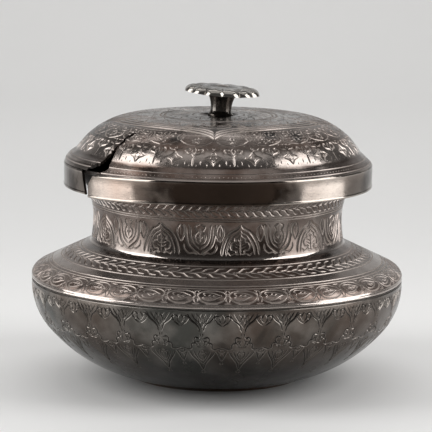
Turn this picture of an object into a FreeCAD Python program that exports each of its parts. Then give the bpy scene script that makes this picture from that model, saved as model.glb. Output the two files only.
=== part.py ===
import FreeCAD, Part
import Sketcher
import math
import os
import re
from dataclasses import dataclass

# A round covered vessel of tinned copper sheet: a wide bowl on a low foot ring, a sloping shoulder,
# a waisted neck with an out-turned mouth, and a domed lid with a cracked edge and a rosette knob.
# Upright axis +Z, origin on the ground at the middle of the foot ring, front towards -Y, millimetres.

# Driving sizes, in millimetres, degrees where the name says angle or lean, and plain counts.
SIZES = {
    # Sheet metal
    "sheet_wall": 1.3,
    "cut_overrun": 2.0,
    # Foot ring
    "foot_radius": 48.8,
    "foot_width": 3.0,
    "foot_height": 1.5,
    # Bowl, from its flat base up to the seam
    "base_margin": 0.7,
    "bowl_radius": 105.5,
    "bowl_height": 55.5,
    "bowl_wall_height": 2.6,
    "bowl_high_arc": 38.2,
    "bowl_low_arc": 85.3,
    # Shoulder, from the seam up to the neck
    "ridge_overhang": 0.2,
    "ridge_height": 5.15,
    "ridge_arc": 6.0,
    "shoulder_angle": 25.4,
    # Neck
    "neck_waist_radius": 70.7,
    "neck_foot_flare": 4.9,
    "neck_foot_rise": 4.7,
    "neck_foot_arc": 4.6,
    "neck_low_flare": 0.8,
    "neck_waist_rise": 11.0,
    "mouth_flare": 14.9,
    "mouth_rise": 31.1,
    "lip_height": 1.6,
    "lip_land": 2.4,
    # Lid band, which drops over the mouth
    "lid_clearance": 0.4,
    "band_wall": 1.7,
    "band_height": 13.2,
    "band_chamfer": 0.5,
    # Lid dome with its sloping brim
    "brim_setback": 0.5,
    "brim_rise": 6.1,
    "brim_width": 6.4,
    "dome_arc": 40.0,
    "crown_arc": 1500.0,
    "crown_height": 26.6,
    # Crack through the brim, and the sprung seam of the band below it
    "crack_angle": 220.0,
    "crack_spread_angle": 4.0,
    "seam_angle": 214.4,
    "seam_open_angle": 3.2,
    "notch_open_angle": 6.8,
    "notch_height": 4.6,
    # Knob
    "knob_offset": 1.0,
    "knob_lean": 4.0,
    "stem_foot_radius": 7.2,
    "stem_foot_height": 1.2,
    "stem_waist_radius": 5.9,
    "stem_waist_height": 2.6,
    "stem_top_radius": 8.2,
    "stem_height": 14.2,
    "rosette_flat_radius": 17.4,
    "petal_lip_reach": 4.2,
    "rosette_thickness": 1.5,
    "rosette_crown": 0.8,
    "petal_lip_drop": 1.9,
    "petal_lip_width": 1.3,
    "petal_notch_radius": 2.4,
    "petal_notch_depth": 1.3,
    "petal_count": 12,
    "rivet_radius": 2.4,
    "rivet_clearance": 0.15,
    "rivet_head_radius": 3.6,
    "rivet_head_height": 0.6,
    "rove_radius": 8.0,
    "rove_height": 2.0,
}

# Places and sizes that follow from the driving ones.
BASE_RADIUS = "(foot_radius + base_margin)"
SEAM_TOP = "(foot_height + bowl_height)"
WIDEST_TOP = f"({SEAM_TOP} - bowl_wall_height)"
RIDGE_RADIUS = "(bowl_radius + ridge_overhang)"
RIDGE_TOP = f"({SEAM_TOP} + ridge_height)"
RIDGE_TANGENT = "(ridge_arc * tan(45 deg - shoulder_angle * 0.5 deg))"
NECK_FOOT_RADIUS = "(neck_waist_radius + neck_foot_flare)"
NECK_LOW_RADIUS = "(neck_waist_radius + neck_low_flare)"
NECK_BORE = f"({NECK_LOW_RADIUS} - sheet_wall)"
NECK_FOOT_TOP = f"({RIDGE_TOP} + ({RIDGE_RADIUS} - {NECK_FOOT_RADIUS}) * tan(shoulder_angle * 1 deg))"
NECK_SEAT_TOP = f"({RIDGE_TOP} + ({RIDGE_RADIUS} - {NECK_BORE}) * tan(shoulder_angle * 1 deg))"
NECK_LOW_TOP = f"({NECK_FOOT_TOP} + neck_foot_rise)"
WAIST_TOP = f"({NECK_LOW_TOP} + neck_waist_rise)"
MOUTH_TOP = f"({WAIST_TOP} + mouth_rise)"
MOUTH_RADIUS = "(neck_waist_radius + mouth_flare)"
BAND_BORE = f"({MOUTH_RADIUS} + lid_clearance)"
BAND_RADIUS = f"({BAND_BORE} + band_wall)"
BAND_FOOT = f"({MOUTH_TOP} - band_height)"
BRIM_RADIUS = f"({BAND_RADIUS} - brim_setback)"
BRIM_TOP = f"({MOUTH_TOP} + brim_rise)"
DOME_RADIUS = f"({BRIM_RADIUS} - brim_width)"
BRIM_CUT = "(sheet_wall / sin(atan(brim_rise / brim_width)))"
CROWN_TOP = f"({MOUTH_TOP} + crown_height)"
KNOB_LEAN = "(knob_lean * 1 deg)"
RIVET_BORE = "(rivet_radius + rivet_clearance)"
STEM_SINK = f"(stem_foot_radius * tan{KNOB_LEAN} + cut_overrun)"
ROVE_FOOT = "(-sheet_wall - rove_height)"
ROSETTE_RADIUS = "(rosette_flat_radius + petal_lip_reach)"
ROSETTE_EDGE = "(stem_height + rosette_thickness)"
ROSETTE_TOP = f"({ROSETTE_EDGE} + rosette_crown)"

# The crack runs from its tip on the dome out past the brim's edge. Each corner is a share of the brim's
# radius and a share of the crack's spread either side of its middle angle.
CRACK_LEFT_SHARES = (
    (0.762, 1.50), (0.820, 0.90), (0.848, 1.02), (0.872, 0.50), (0.904, 0.35),
    (0.923, -0.05), (0.962, -0.12), (0.993, -1.05), (1.030, -1.20),
)
CRACK_RIGHT_SHARES = (
    (1.030, 0.20), (0.992, 0.35), (0.963, 1.05), (0.925, 0.70), (0.904, 0.80),
    (0.879, 0.88), (0.852, 1.32), (0.820, 1.38),
)

LINE = "line"
UPRIGHT_PLANE = "XZ_Plane"
GROUND_PLANE = "XY_Plane"

doc = FreeCAD.newDocument("covered_vessel")
sheet = doc.addObject("Spreadsheet::Sheet", "Sizes")
for row, (alias, size) in enumerate(SIZES.items(), start=1):
    sheet.set(f"A{row}", alias)
    sheet.set(f"B{row}", str(size))
    sheet.setAlias(f"B{row}", alias)
doc.recompute()


def tied(text):
    """Write an expression with each size's name as a reference to the sheet."""
    return re.sub(r"[a-z_]+", lambda word: f"Sizes.{word[0]}" if word[0] in SIZES else word[0], text)


def value(text):
    """Work out an expression of sizes as a number."""
    return float(sheet.evalExpression(tied(text)))


@dataclass
class Arc:
    """A round edge of an outline, bent left (+1) or right (-1). One of the rest settles its centre."""

    bend: int
    radius: str = ""
    level_with: int = -1
    plumb_with: int = -1
    around: int = -1

    def centre(self, points, first, second, centres):
        """Give the centre that the arc has between two corners of the outline."""
        start, end = points[first], points[second]
        if self.around >= 0:
            return centres[self.around]
        if self.radius:
            chord = end - start
            reach = math.sqrt(value(self.radius) ** 2 - chord.Length ** 2 / 4)
            across = FreeCAD.Vector(-chord.y, chord.x, 0).normalize()
            return (start + end) * 0.5 + across * reach * self.bend
        settled = self.level_with if self.level_with >= 0 else self.plumb_with
        from_point = points[settled]
        span = (end if settled == first else start) - from_point
        if self.level_with >= 0:
            return from_point + FreeCAD.Vector(span.Length ** 2 / (2 * span.x), 0, 0)
        return from_point + FreeCAD.Vector(0, span.Length ** 2 / (2 * span.y), 0)


def tie(sketch, constraint, text):
    """Add a constraint to a sketch and bind its size to the sheet."""
    index = sketch.addConstraint(constraint)
    sketch.setExpression(f"Constraints[{index}]", tied(text))


def place_corner(sketch, end, corner, point):
    """Bind a corner's two coordinates to the sheet, but leave one given as a number to the outline."""
    # In a sketch, element -1 is the level axis, whose point 1 is the origin, and -2 the upright axis.
    for axis, other_axis, text, guess in (("X", -2, corner[0], point.x), ("Y", -1, corner[1], point.y)):
        if text == "0":
            sketch.addConstraint(Sketcher.Constraint("PointOnObject", *end, other_axis))
        elif isinstance(text, str):
            tie(sketch, Sketcher.Constraint(f"Distance{axis}", -1, 1, *end, guess), text)


def draw_outline(sketch, corners, edges, smooth=(), parallel=()):
    """Draw a closed outline, edge by edge, and tie every corner and arc of it."""
    points = [FreeCAD.Vector(*(value(c) if isinstance(c, str) else c for c in corner)) for corner in corners]
    count = len(points)
    ends = []
    centres = {}
    for first, edge in enumerate(edges):
        second = (first + 1) % count
        if edge is LINE:
            geometry = Part.LineSegment(points[first], points[second])
            ends.append((sketch.addGeometry(geometry, False), 1, 2))
            continue
        centres[first] = edge.centre(points, first, second, centres)
        spokes = [points[corner] - centres[first] for corner in (first, second)]
        angles = [math.atan2(spoke.y, spoke.x) for spoke in spokes]
        circle = Part.Circle(centres[first], FreeCAD.Vector(0, 0, 1), spokes[0].Length)
        geometry = Part.ArcOfCircle(circle, *angles[::edge.bend])
        ends.append((sketch.addGeometry(geometry, False), *(1, 2)[::edge.bend]))
    for corner in range(count):
        before, here = ends[corner - 1], ends[corner]
        join = "Tangent" if corner in smooth else "Coincident"
        sketch.addConstraint(Sketcher.Constraint(join, before[0], before[2], here[0], here[1]))
        place_corner(sketch, here[:2], corners[corner], points[corner])
    for first, edge in enumerate(edges):
        if edge is LINE:
            continue
        # Point 3 of an arc is its centre.
        middle = (ends[first][0], 3)
        if edge.radius:
            tie(sketch, Sketcher.Constraint("Radius", middle[0], value(edge.radius)), edge.radius)
        if edge.level_with >= 0:
            sketch.addConstraint(Sketcher.Constraint("Horizontal", *middle, *ends[edge.level_with][:2]))
        if edge.plumb_with >= 0:
            sketch.addConstraint(Sketcher.Constraint("Vertical", *middle, *ends[edge.plumb_with][:2]))
        if edge.around >= 0:
            sketch.addConstraint(Sketcher.Constraint("Coincident", *middle, ends[edge.around][0], 3))
    for one, other in parallel:
        sketch.addConstraint(Sketcher.Constraint("Parallel", ends[one][0], ends[other][0]))
    if sketch.solve() != 0:
        raise RuntimeError(f"The outline {sketch.Label} does not close")


def new_sketch(body, label, plane):
    """Start a sketch on one of a body's own origin planes."""
    sketch = body.newObject("Sketcher::SketchObject", label)
    support = next(feature for feature in body.Origin.OriginFeatures if feature.Role == plane)
    sketch.AttachmentSupport = (support, [""])
    sketch.MapMode = "FlatFace"
    return sketch


def turned_body(label, corners, edges, **ties):
    """Make a body by turning an outline of radius and height once round the upright axis."""
    body = doc.addObject("PartDesign::Body", label)
    sketch = new_sketch(body, f"{label}_outline", UPRIGHT_PLANE)
    draw_outline(sketch, corners, edges, **ties)
    turned = body.newObject("PartDesign::Revolution", f"{label}_turned")
    turned.Profile = sketch
    turned.ReferenceAxis = (sketch, ["V_Axis"])
    turned.Angle = 360.0
    doc.recompute()
    return body


def cut_down(body, label, corners, edges, start="", depth=""):
    """Cut an outline, seen from above, straight down from a height, or through the whole body."""
    whole = body.Shape.Volume
    sketch = new_sketch(body, f"{label}_outline", GROUND_PLANE)
    draw_outline(sketch, corners, edges)
    cut = body.newObject("PartDesign::Pocket", label)
    cut.Profile = sketch
    if depth:
        sketch.setExpression("AttachmentOffset.Base.z", tied(start))
        cut.Type = "Length"
        cut.setExpression("Length", tied(depth))
    else:
        cut.Type = "ThroughAll"
        cut.Reversed = True
    doc.recompute()
    if body.Shape.Volume >= whole:
        raise RuntimeError(f"The cut {label} takes nothing away")
    return cut


def polar(radius, angle):
    """Give a corner in plan from a radius and an angle in degrees, both written in sizes."""
    return (f"{radius} * cos(({angle}) * 1 deg)", f"{radius} * sin(({angle}) * 1 deg)")


def lean(piece):
    """Stand a knob piece on the crown of the lid, leaning to the right as the whole knob does."""
    piece.Placement = FreeCAD.Placement(FreeCAD.Vector(), FreeCAD.Rotation(FreeCAD.Vector(0, 1, 0), 1))
    piece.setExpression("Placement.Base.x", tied("knob_offset"))
    piece.setExpression("Placement.Base.z", tied(CROWN_TOP))
    piece.setExpression("Placement.Rotation.Angle", tied(KNOB_LEAN))


def crown_ball(label, radius):
    """Make the ball whose top is a face of the lid's crown."""
    ball = doc.addObject("Part::Sphere", label)
    ball.setExpression("Radius", tied(radius))
    ball.setExpression("Placement.Base.z", tied(f"{CROWN_TOP} - crown_arc"))
    return ball


def combine(kind, label, base, tool):
    """Combine two pieces into one, as a cut or as what they share."""
    result = doc.addObject(f"Part::{kind}", label)
    result.Base = base
    result.Tool = tool
    doc.recompute()
    return result


def hugging_centre(point, radius, centre, centre_radius, side):
    """Find the centre of an arc through a point that runs smoothly into an arc about a known centre."""
    gap = centre - point
    reach = abs(radius - centre_radius)
    along = (radius ** 2 - reach ** 2 + gap.Length ** 2) / (2 * gap.Length)
    across = math.sqrt(radius ** 2 - along ** 2)
    direction = FreeCAD.Vector(gap).normalize()
    return point + direction * along + FreeCAD.Vector(-direction.y, direction.x, 0) * across * side


def make_foot_ring():
    """The low ring that the vessel stands on."""
    inner = "foot_radius - foot_width"
    corners = [(inner, "0"), ("foot_radius", "0"), ("foot_radius", "foot_height"), (inner, "foot_height")]
    return turned_body("foot_ring", corners, [LINE] * len(corners))


def make_bowl():
    """The raised bowl: a flat base, two arcs that run into each other and a short upright wall."""
    base = FreeCAD.Vector(value(BASE_RADIUS), value("foot_height"))
    low, high, wall = value("bowl_low_arc"), value("bowl_high_arc"), value("sheet_wall")
    high_centre = FreeCAD.Vector(value("bowl_radius - bowl_high_arc"), value(WIDEST_TOP))
    low_centre = hugging_centre(base, low, high_centre, high, 1)
    outward = (high_centre - low_centre).normalize()
    meeting = low_centre + outward * low
    inner_meeting = low_centre + outward * (low - wall)
    floor_drop = low_centre.y - base.y - wall
    floor_radius = low_centre.x + math.sqrt((low - wall) ** 2 - floor_drop ** 2)
    inner = "bowl_radius - sheet_wall"
    floor = "foot_height + sheet_wall"
    corners = [
        ("0", "foot_height"), (BASE_RADIUS, "foot_height"), (meeting.x, meeting.y),
        ("bowl_radius", WIDEST_TOP), ("bowl_radius", SEAM_TOP), (inner, SEAM_TOP), (inner, WIDEST_TOP),
        (inner_meeting.x, inner_meeting.y), (floor_radius, floor), ("0", floor),
    ]
    edges = [
        LINE, Arc(1, radius="bowl_low_arc"), Arc(1, radius="bowl_high_arc"), LINE, LINE, LINE,
        Arc(-1, radius="bowl_high_arc - sheet_wall"), Arc(-1, around=1), LINE, LINE,
    ]
    return turned_body("bowl", corners, edges, smooth=(2, 3, 6, 7))


def make_shoulder():
    """The sloping shoulder, soldered to the bowl at its rounded ridge and open under the neck."""
    slope = "(shoulder_angle * 1 deg)"
    ridge_foot = f"{RIDGE_TOP} - {RIDGE_TANGENT}"
    inner = f"{RIDGE_RADIUS} - sheet_wall"
    turn_radius = f"{RIDGE_RADIUS} - ridge_arc"
    corners = [
        (RIDGE_RADIUS, SEAM_TOP),
        (RIDGE_RADIUS, ridge_foot),
        (f"{turn_radius} + ridge_arc * sin{slope}", f"{ridge_foot} + ridge_arc * cos{slope}"),
        (NECK_BORE, NECK_SEAT_TOP),
        (NECK_BORE, f"{NECK_SEAT_TOP} - sheet_wall / cos{slope}"),
        (f"{turn_radius} + (ridge_arc - sheet_wall) * sin{slope}",
         f"{ridge_foot} + (ridge_arc - sheet_wall) * cos{slope}"),
        (inner, ridge_foot),
        (inner, SEAM_TOP),
    ]
    edges = [LINE, Arc(1, radius="ridge_arc"), LINE, LINE, LINE, Arc(-1, radius="ridge_arc - sheet_wall"),
             LINE, LINE]
    return turned_body("shoulder", corners, edges)


def make_neck():
    """The waisted neck, with a moulded foot on the shoulder and a flat-topped mouth lip."""
    waist_bore = "neck_waist_radius - sheet_wall"
    corners = [
        (NECK_BORE, NECK_SEAT_TOP), (NECK_FOOT_RADIUS, NECK_FOOT_TOP), (NECK_LOW_RADIUS, NECK_LOW_TOP),
        ("neck_waist_radius", WAIST_TOP), (MOUTH_RADIUS, f"{MOUTH_TOP} - lip_height"),
        (MOUTH_RADIUS, MOUTH_TOP), (f"{MOUTH_RADIUS} - lip_land", MOUTH_TOP), (waist_bore, WAIST_TOP),
        (NECK_BORE, NECK_LOW_TOP),
    ]
    edges = [
        LINE, Arc(-1, radius="neck_foot_arc"), Arc(-1, level_with=3), Arc(-1, level_with=3), LINE, LINE,
        Arc(1, level_with=7), Arc(1, level_with=7), LINE,
    ]
    return turned_body("neck", corners, edges)


def make_lid_band():
    """The lid's upright band: a strip bent to a ring, whose soldered seam has sprung open."""
    corners = [
        (BAND_BORE, BAND_FOOT), (f"{BAND_RADIUS} - band_chamfer", BAND_FOOT),
        (BAND_RADIUS, f"{BAND_FOOT} + band_chamfer"), (BAND_RADIUS, f"{MOUTH_TOP} - band_chamfer"),
        (f"{BAND_RADIUS} - band_chamfer", MOUTH_TOP), (BAND_BORE, MOUTH_TOP),
    ]
    body = turned_body("lid_band", corners, [LINE] * len(corners))
    for label, opening, start, depth in (
        ("sprung_seam", "seam_open_angle", "", ""),
        ("torn_notch", "notch_open_angle", MOUTH_TOP, "notch_height"),
    ):
        before = f"seam_angle - {opening} / 2"
        after = f"seam_angle + {opening} / 2"
        near = f"({BAND_BORE} - cut_overrun)"
        far = f"({BAND_RADIUS} + cut_overrun)"
        sector = [polar(near, before), polar(far, before), polar(far, after), polar(near, after)]
        cut_down(body, label, sector, [LINE] * len(sector), start, depth)
    return body


def make_lid_dome():
    """The lid's sheet: a flat crown, a rounded dome and a sloping brim, cracked through from the edge."""
    brim = FreeCAD.Vector(value(DOME_RADIUS), value(BRIM_TOP))
    edge = FreeCAD.Vector(value(BRIM_RADIUS), value(MOUTH_TOP))
    arc, crown, wall = value("dome_arc"), value("crown_arc"), value("sheet_wall")
    crown_centre = FreeCAD.Vector(0, value(CROWN_TOP) - crown)
    dome_centre = hugging_centre(brim, arc, crown_centre, crown, -1)
    outward = (dome_centre - crown_centre).normalize()
    meeting = crown_centre + outward * crown
    inner_meeting = crown_centre + outward * (crown - wall)
    slope = (brim - edge).normalize()
    inner_edge = edge - FreeCAD.Vector(value(BRIM_CUT), 0)
    to_centre = dome_centre - inner_edge
    nearest = to_centre.dot(slope)
    aside = to_centre.Length ** 2 - nearest ** 2
    inner_brim = inner_edge + slope * (nearest - math.sqrt((arc - wall) ** 2 - aside))
    corners = [
        ("0", CROWN_TOP), ("0", f"{CROWN_TOP} - sheet_wall"), (inner_meeting.x, inner_meeting.y),
        (inner_brim.x, inner_brim.y), (f"{BRIM_RADIUS} - {BRIM_CUT}", MOUTH_TOP), (BRIM_RADIUS, MOUTH_TOP),
        (DOME_RADIUS, BRIM_TOP), (meeting.x, meeting.y),
    ]
    edges = [
        LINE, Arc(-1, radius="crown_arc - sheet_wall", plumb_with=1),
        Arc(-1, radius="dome_arc - sheet_wall"), LINE, LINE, LINE, Arc(1, radius="dome_arc"),
        Arc(1, radius="crown_arc", plumb_with=0),
    ]
    body = turned_body("lid_sheet", corners, edges, smooth=(2, 7), parallel=((3, 5),))
    crack = [
        polar(f"{BRIM_RADIUS} * {radius_share}", f"crack_angle + crack_spread_angle * {spread_share}")
        for radius_share, spread_share in CRACK_LEFT_SHARES + CRACK_RIGHT_SHARES
    ]
    cut_down(body, "crack", crack, [LINE] * len(crack))
    hole = doc.addObject("Part::Cylinder", "rivet_hole")
    lean(hole)
    hole.setExpression("Radius", tied(RIVET_BORE))
    hole.setExpression("Height", tied("2 * (sheet_wall + cut_overrun)"))
    hole.setExpression("Placement.Base.z", tied(f"{CROWN_TOP} - sheet_wall - cut_overrun"))
    return combine("Cut", "lid_dome", body, hole)


def make_knob_stem():
    """The knob's waisted stem, with a foot filed to sit flush on the crown."""
    corners = [
        (RIVET_BORE, f"-{STEM_SINK}"), ("stem_foot_radius", f"-{STEM_SINK}"),
        ("stem_foot_radius", "stem_foot_height"), ("stem_waist_radius", "stem_waist_height"),
        ("stem_top_radius", "stem_height"), (RIVET_BORE, "stem_height"),
    ]
    edges = [LINE, LINE, LINE, Arc(-1, level_with=3), LINE, LINE]
    blank = turned_body("stem_blank", corners, edges)
    lean(blank)
    return combine("Cut", "knob_stem", blank, crown_ball("crown_top", "crown_arc"))


def make_knob_rosette():
    """The rosette on the stem: a shallow disc with turned-down petals."""
    lip_foot = "stem_height - petal_lip_drop"
    corners = [
        (RIVET_BORE, "stem_height"), ("rosette_flat_radius", "stem_height"),
        (f"{ROSETTE_RADIUS} - petal_lip_width", lip_foot), (ROSETTE_RADIUS, lip_foot),
        ("rosette_flat_radius", ROSETTE_EDGE), (RIVET_BORE, ROSETTE_TOP),
    ]
    edges = [LINE, LINE, LINE, Arc(1, plumb_with=4), LINE, LINE]
    body = turned_body("knob_rosette", corners, edges)
    sketch = new_sketch(body, "petal_notch_outline", GROUND_PLANE)
    reach = f"{ROSETTE_RADIUS} + petal_notch_radius - petal_notch_depth"
    centre = FreeCAD.Vector(value(reach), 0, 0)
    circle = Part.Circle(centre, FreeCAD.Vector(0, 0, 1), value("petal_notch_radius"))
    sketch.addGeometry(circle, False)
    tie(sketch, Sketcher.Constraint("Radius", 0, value("petal_notch_radius")), "petal_notch_radius")
    # The circle is element 0 of the sketch, and point 3 of it is its centre.
    place_corner(sketch, (0, 3), (reach, "0"), centre)
    notch = body.newObject("PartDesign::Pocket", "petal_notch")
    notch.Profile = sketch
    notch.Type = "ThroughAll"
    notch.Reversed = True
    doc.recompute()
    petals = body.newObject("PartDesign::PolarPattern", "petal_notches")
    petals.Originals = [notch]
    petals.Axis = (sketch, ["N_Axis"])
    petals.Angle = 360.0
    petals.setExpression("Occurrences", tied("petal_count"))
    body.Tip = petals
    lean(body)
    doc.recompute()
    return body


def make_knob_rivet():
    """The rivet that ties rosette, stem, lid and rove together, with a low head at each end."""
    head_foot = f"{ROVE_FOOT} - rivet_head_height"
    head_top = f"{ROSETTE_TOP} + rivet_head_height"
    corners = [
        ("0", head_foot), ("rivet_head_radius", ROVE_FOOT), ("rivet_radius", ROVE_FOOT),
        ("rivet_radius", ROSETTE_TOP), ("rivet_head_radius", ROSETTE_TOP), ("0", head_top),
    ]
    edges = [Arc(1, plumb_with=0), LINE, LINE, LINE, Arc(1, plumb_with=5), LINE]
    body = turned_body("knob_rivet", corners, edges)
    lean(body)
    return body


def make_knob_rove():
    """The washer under the lid that the rivet is closed over, bedded flush against the crown."""
    rove_top = f"rove_radius * tan{KNOB_LEAN}"
    corners = [(RIVET_BORE, ROVE_FOOT), ("rove_radius", ROVE_FOOT), ("rove_radius", rove_top),
               (RIVET_BORE, rove_top)]
    blank = turned_body("rove_blank", corners, [LINE] * len(corners))
    lean(blank)
    return combine("Common", "knob_rove", blank, crown_ball("crown_underside", "crown_arc - sheet_wall"))


pieces = [
    make_foot_ring(), make_bowl(), make_shoulder(), make_neck(), make_lid_band(), make_lid_dome(),
    make_knob_stem(), make_knob_rosette(), make_knob_rivet(), make_knob_rove(),
]
doc.recompute()
for item in doc.Objects:
    if {"Invalid", "Error"} & set(item.State):
        raise RuntimeError(f"{item.Label} failed: {item.State}")
for piece in pieces:
    if piece.Shape.isNull() or not piece.Shape.isValid() or len(piece.Shape.Solids) != 1:
        raise RuntimeError(f"{piece.Label} is not one sound solid")

os.makedirs("parts", exist_ok=True)
for piece in pieces:
    piece.Shape.exportStep(f"parts/{piece.Label}.step")
    print(piece.Label, round(piece.Shape.Volume), piece.Shape.BoundBox)
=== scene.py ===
"""Dresses a covered round vessel of engraved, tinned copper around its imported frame.

The vessel is a low bulging bowl with a sloping shoulder and a waisted neck. A domed lid with a deep
band hangs over the neck and carries a flower-shaped knob. Sizes are in millimetres until a mesh is
made, and every mesh is in metres. Angles are in degrees, counted from the front of the vessel, which
faces -Y, and grow to the right.
"""
import logging
import math
from collections.abc import Callable, Sequence
from dataclasses import dataclass, field, replace
from enum import Enum
from functools import partial

import bpy
import numpy as np
from mathutils import Matrix, Vector
from mathutils.geometry import delaunay_2d_cdt


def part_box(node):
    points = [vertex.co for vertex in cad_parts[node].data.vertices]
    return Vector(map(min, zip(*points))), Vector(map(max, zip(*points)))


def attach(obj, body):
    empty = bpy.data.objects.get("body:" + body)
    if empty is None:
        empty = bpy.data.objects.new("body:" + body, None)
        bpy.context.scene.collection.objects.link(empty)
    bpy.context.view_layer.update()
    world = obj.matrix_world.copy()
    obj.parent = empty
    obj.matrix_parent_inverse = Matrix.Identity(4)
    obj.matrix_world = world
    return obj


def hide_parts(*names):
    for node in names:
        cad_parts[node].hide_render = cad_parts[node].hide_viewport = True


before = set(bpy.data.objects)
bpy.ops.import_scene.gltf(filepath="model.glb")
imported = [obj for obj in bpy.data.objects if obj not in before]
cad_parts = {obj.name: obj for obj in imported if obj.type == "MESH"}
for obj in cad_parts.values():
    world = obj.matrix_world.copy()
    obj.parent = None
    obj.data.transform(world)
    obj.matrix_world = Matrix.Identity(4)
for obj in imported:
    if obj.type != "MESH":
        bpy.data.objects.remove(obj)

LOG = logging.getLogger("covered_vessel")
MM = 0.001
MERGE_DISTANCE = 0.01 * MM
FRONT = -90.0
BEFORE = -1.0
JUST_INSIDE = 0.01
TINY = 1e-9

Place = tuple[float, float]
Point = tuple[float, float, float]
Colour = tuple[float, float, float]
Socket = bpy.types.NodeSocket
Value = Socket | float | Sequence[float]


class Body(Enum):
    """The two bodies that come apart when the lid is lifted."""

    VESSEL = "vessel"
    LID = "lid"


class Slot(Enum):
    """The record's material slots."""

    TINNED_COPPER = "tinned_copper"
    BARE_COPPER = "bare_copper"
    DARK_BRONZE = "dark_bronze"


class Cut(Enum):
    """Widths of an engraved line, in millimetres."""

    HAIR = 0.55
    FINE = 0.75
    LINE = 0.95
    BOLD = 1.25
    BROAD = 1.8


class Mark(Enum):
    """Point attributes that a finish reads from a mesh."""

    CUT = "cut"
    POLISH = "polish"
    TARNISH = "tarnish"


def eased(share: np.ndarray) -> np.ndarray:
    """Lets a share that grows from 0 to 1 start and end gently."""
    return share**2 * (3 - 2 * share)


def rising_meeting(centre: Place, gap: float, point: Place, radius: float) -> Place:
    """Finds the centre of an arc that passes through a point and runs smoothly into another arc.

    Args:
        centre: Centre of the other arc.
        gap: Distance between the two centres.
        point: The point on the wanted arc.
        radius: Radius of the wanted arc.

    Returns:
        The centre that lies nearer to the axis.
    """
    span = math.dist(centre, point)
    along = (gap**2 - radius**2 + span**2) / (2 * span)
    across = math.sqrt(gap**2 - along**2)
    step = ((point[0] - centre[0]) / span, (point[1] - centre[1]) / span)
    foot = (centre[0] + along * step[0], centre[1] + along * step[1])
    found = [(foot[0] - side * across * step[1], foot[1] + side * across * step[0]) for side in (1, -1)]
    return min(found, key=lambda place: place[0])


class Outline:
    """The side view of a turned surface, followed with its outer side on the right hand."""

    SAMPLE = 0.4
    INNER_SAMPLE = 3.0

    def __init__(self, radius: float, height: float) -> None:
        """Starts at a radius and a height."""
        self.points: list[Place] = [(radius, height)]
        self.corners: list[int] = [0]

    def line(self, radius: float, height: float) -> "Outline":
        """Adds a straight stretch.

        Args:
            radius: Radius of its end.
            height: Height of its end.

        Returns:
            The outline itself, for the next stretch.
        """
        start = np.array(self.points[-1])
        end = np.array((radius, height))
        steps = max(1, round(float(np.linalg.norm(end - start)) / self.SAMPLE))
        self.points += [tuple(start + (end - start) * share) for share in np.linspace(0, 1, steps + 1)[1:]]
        self.corners.append(len(self.points) - 1)
        return self

    def arc(self, radius: float, height: float, bend: float) -> "Outline":
        """Adds an arc of less than a half circle.

        Args:
            radius: Radius of its end.
            height: Height of its end.
            bend: Radius of the arc, positive where it bulges and negative where it is hollow.

        Returns:
            The outline itself, for the next stretch.
        """
        start = np.array(self.points[-1])
        end = np.array((radius, height))
        chord = end - start
        span = float(np.linalg.norm(chord))
        outward = np.array((chord[1], -chord[0])) / span
        depth = math.sqrt(bend**2 - span**2 / 4)
        centre = (start + end) / 2 - math.copysign(depth, bend) * outward
        first = math.atan2(*(start - centre)[::-1])
        turn = math.remainder(math.atan2(*(end - centre)[::-1]) - first, math.tau)
        steps = max(2, round(abs(turn * bend) / self.SAMPLE))
        for angle in first + turn * np.linspace(0, 1, steps + 1)[1:]:
            self.points.append(tuple(centre + abs(bend) * np.array((math.cos(angle), math.sin(angle)))))
        self.corners.append(len(self.points) - 1)
        return self

    def finish(self) -> "Outline":
        """Measures the outline once its last stretch is in.

        Returns:
            The outline itself, ready for use.
        """
        table = np.array(self.points)
        steps = np.diff(table, axis=0)
        lengths = np.linalg.norm(steps, axis=1)
        self.table = table
        self.lengths = np.concatenate(([0.0], np.cumsum(lengths)))
        along = steps / lengths[:, None]
        tangent = np.vstack((along[:1], along[:-1] + along[1:], along[-1:]))
        tangent /= np.linalg.norm(tangent, axis=1)[:, None]
        self.normals = np.column_stack((tangent[:, 1], -tangent[:, 0]))
        return self

    @property
    def length(self) -> float:
        """Length of the whole outline."""
        return float(self.lengths[-1])

    def at(self, along: np.ndarray | float, depth: np.ndarray | float = 0.0) -> np.ndarray:
        """Gives radius and height of places on or below the surface.

        Args:
            along: Distances along the outline.
            depth: How far below the surface each place lies.

        Returns:
            Pairs of radius and height.
        """
        along = np.atleast_1d(along)
        place = np.column_stack([np.interp(along, self.lengths, self.table[:, i]) for i in (0, 1)])
        normal = np.column_stack([np.interp(along, self.lengths, self.normals[:, i]) for i in (0, 1)])
        return place - normal * np.broadcast_to(depth, along.shape)[:, None]

    def inside(self, wall: float, low: float) -> list[Place]:
        """Follows the inner side of a wall back from the outline's end.

        Args:
            wall: Thickness of the wall.
            low: How far along the outline the inner side ends.

        Returns:
            Pairs of radius and height.
        """
        steps = max(1, math.ceil((self.length - low) / self.INNER_SAMPLE))
        return [tuple(place) for place in self.at(np.linspace(self.length, low, steps + 1), wall)]

    def where(self, radius: float | None = None, height: float | None = None) -> float:
        """Finds how far along the outline a radius or a height is first reached.

        Args:
            radius: The radius looked for, or None.
            height: The height looked for, or None.

        Returns:
            Distance along the outline.
        """
        column, value = (0, radius) if height is None else (1, height)
        offsets = self.table[:, column] - value
        crossing = np.nonzero(np.diff(np.sign(offsets)))[0]
        if len(crossing) == 0:
            return float(self.lengths[int(np.argmin(np.abs(offsets)))])
        first = int(crossing[0])
        share = offsets[first] / (offsets[first] - offsets[first + 1])
        return float(self.lengths[first] + share * (self.lengths[first + 1] - self.lengths[first]))


@dataclass
class Stroke:
    """One engraved line: its middle, in millimetres within a repeat, and its half width along it."""

    points: np.ndarray
    half: np.ndarray


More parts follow.
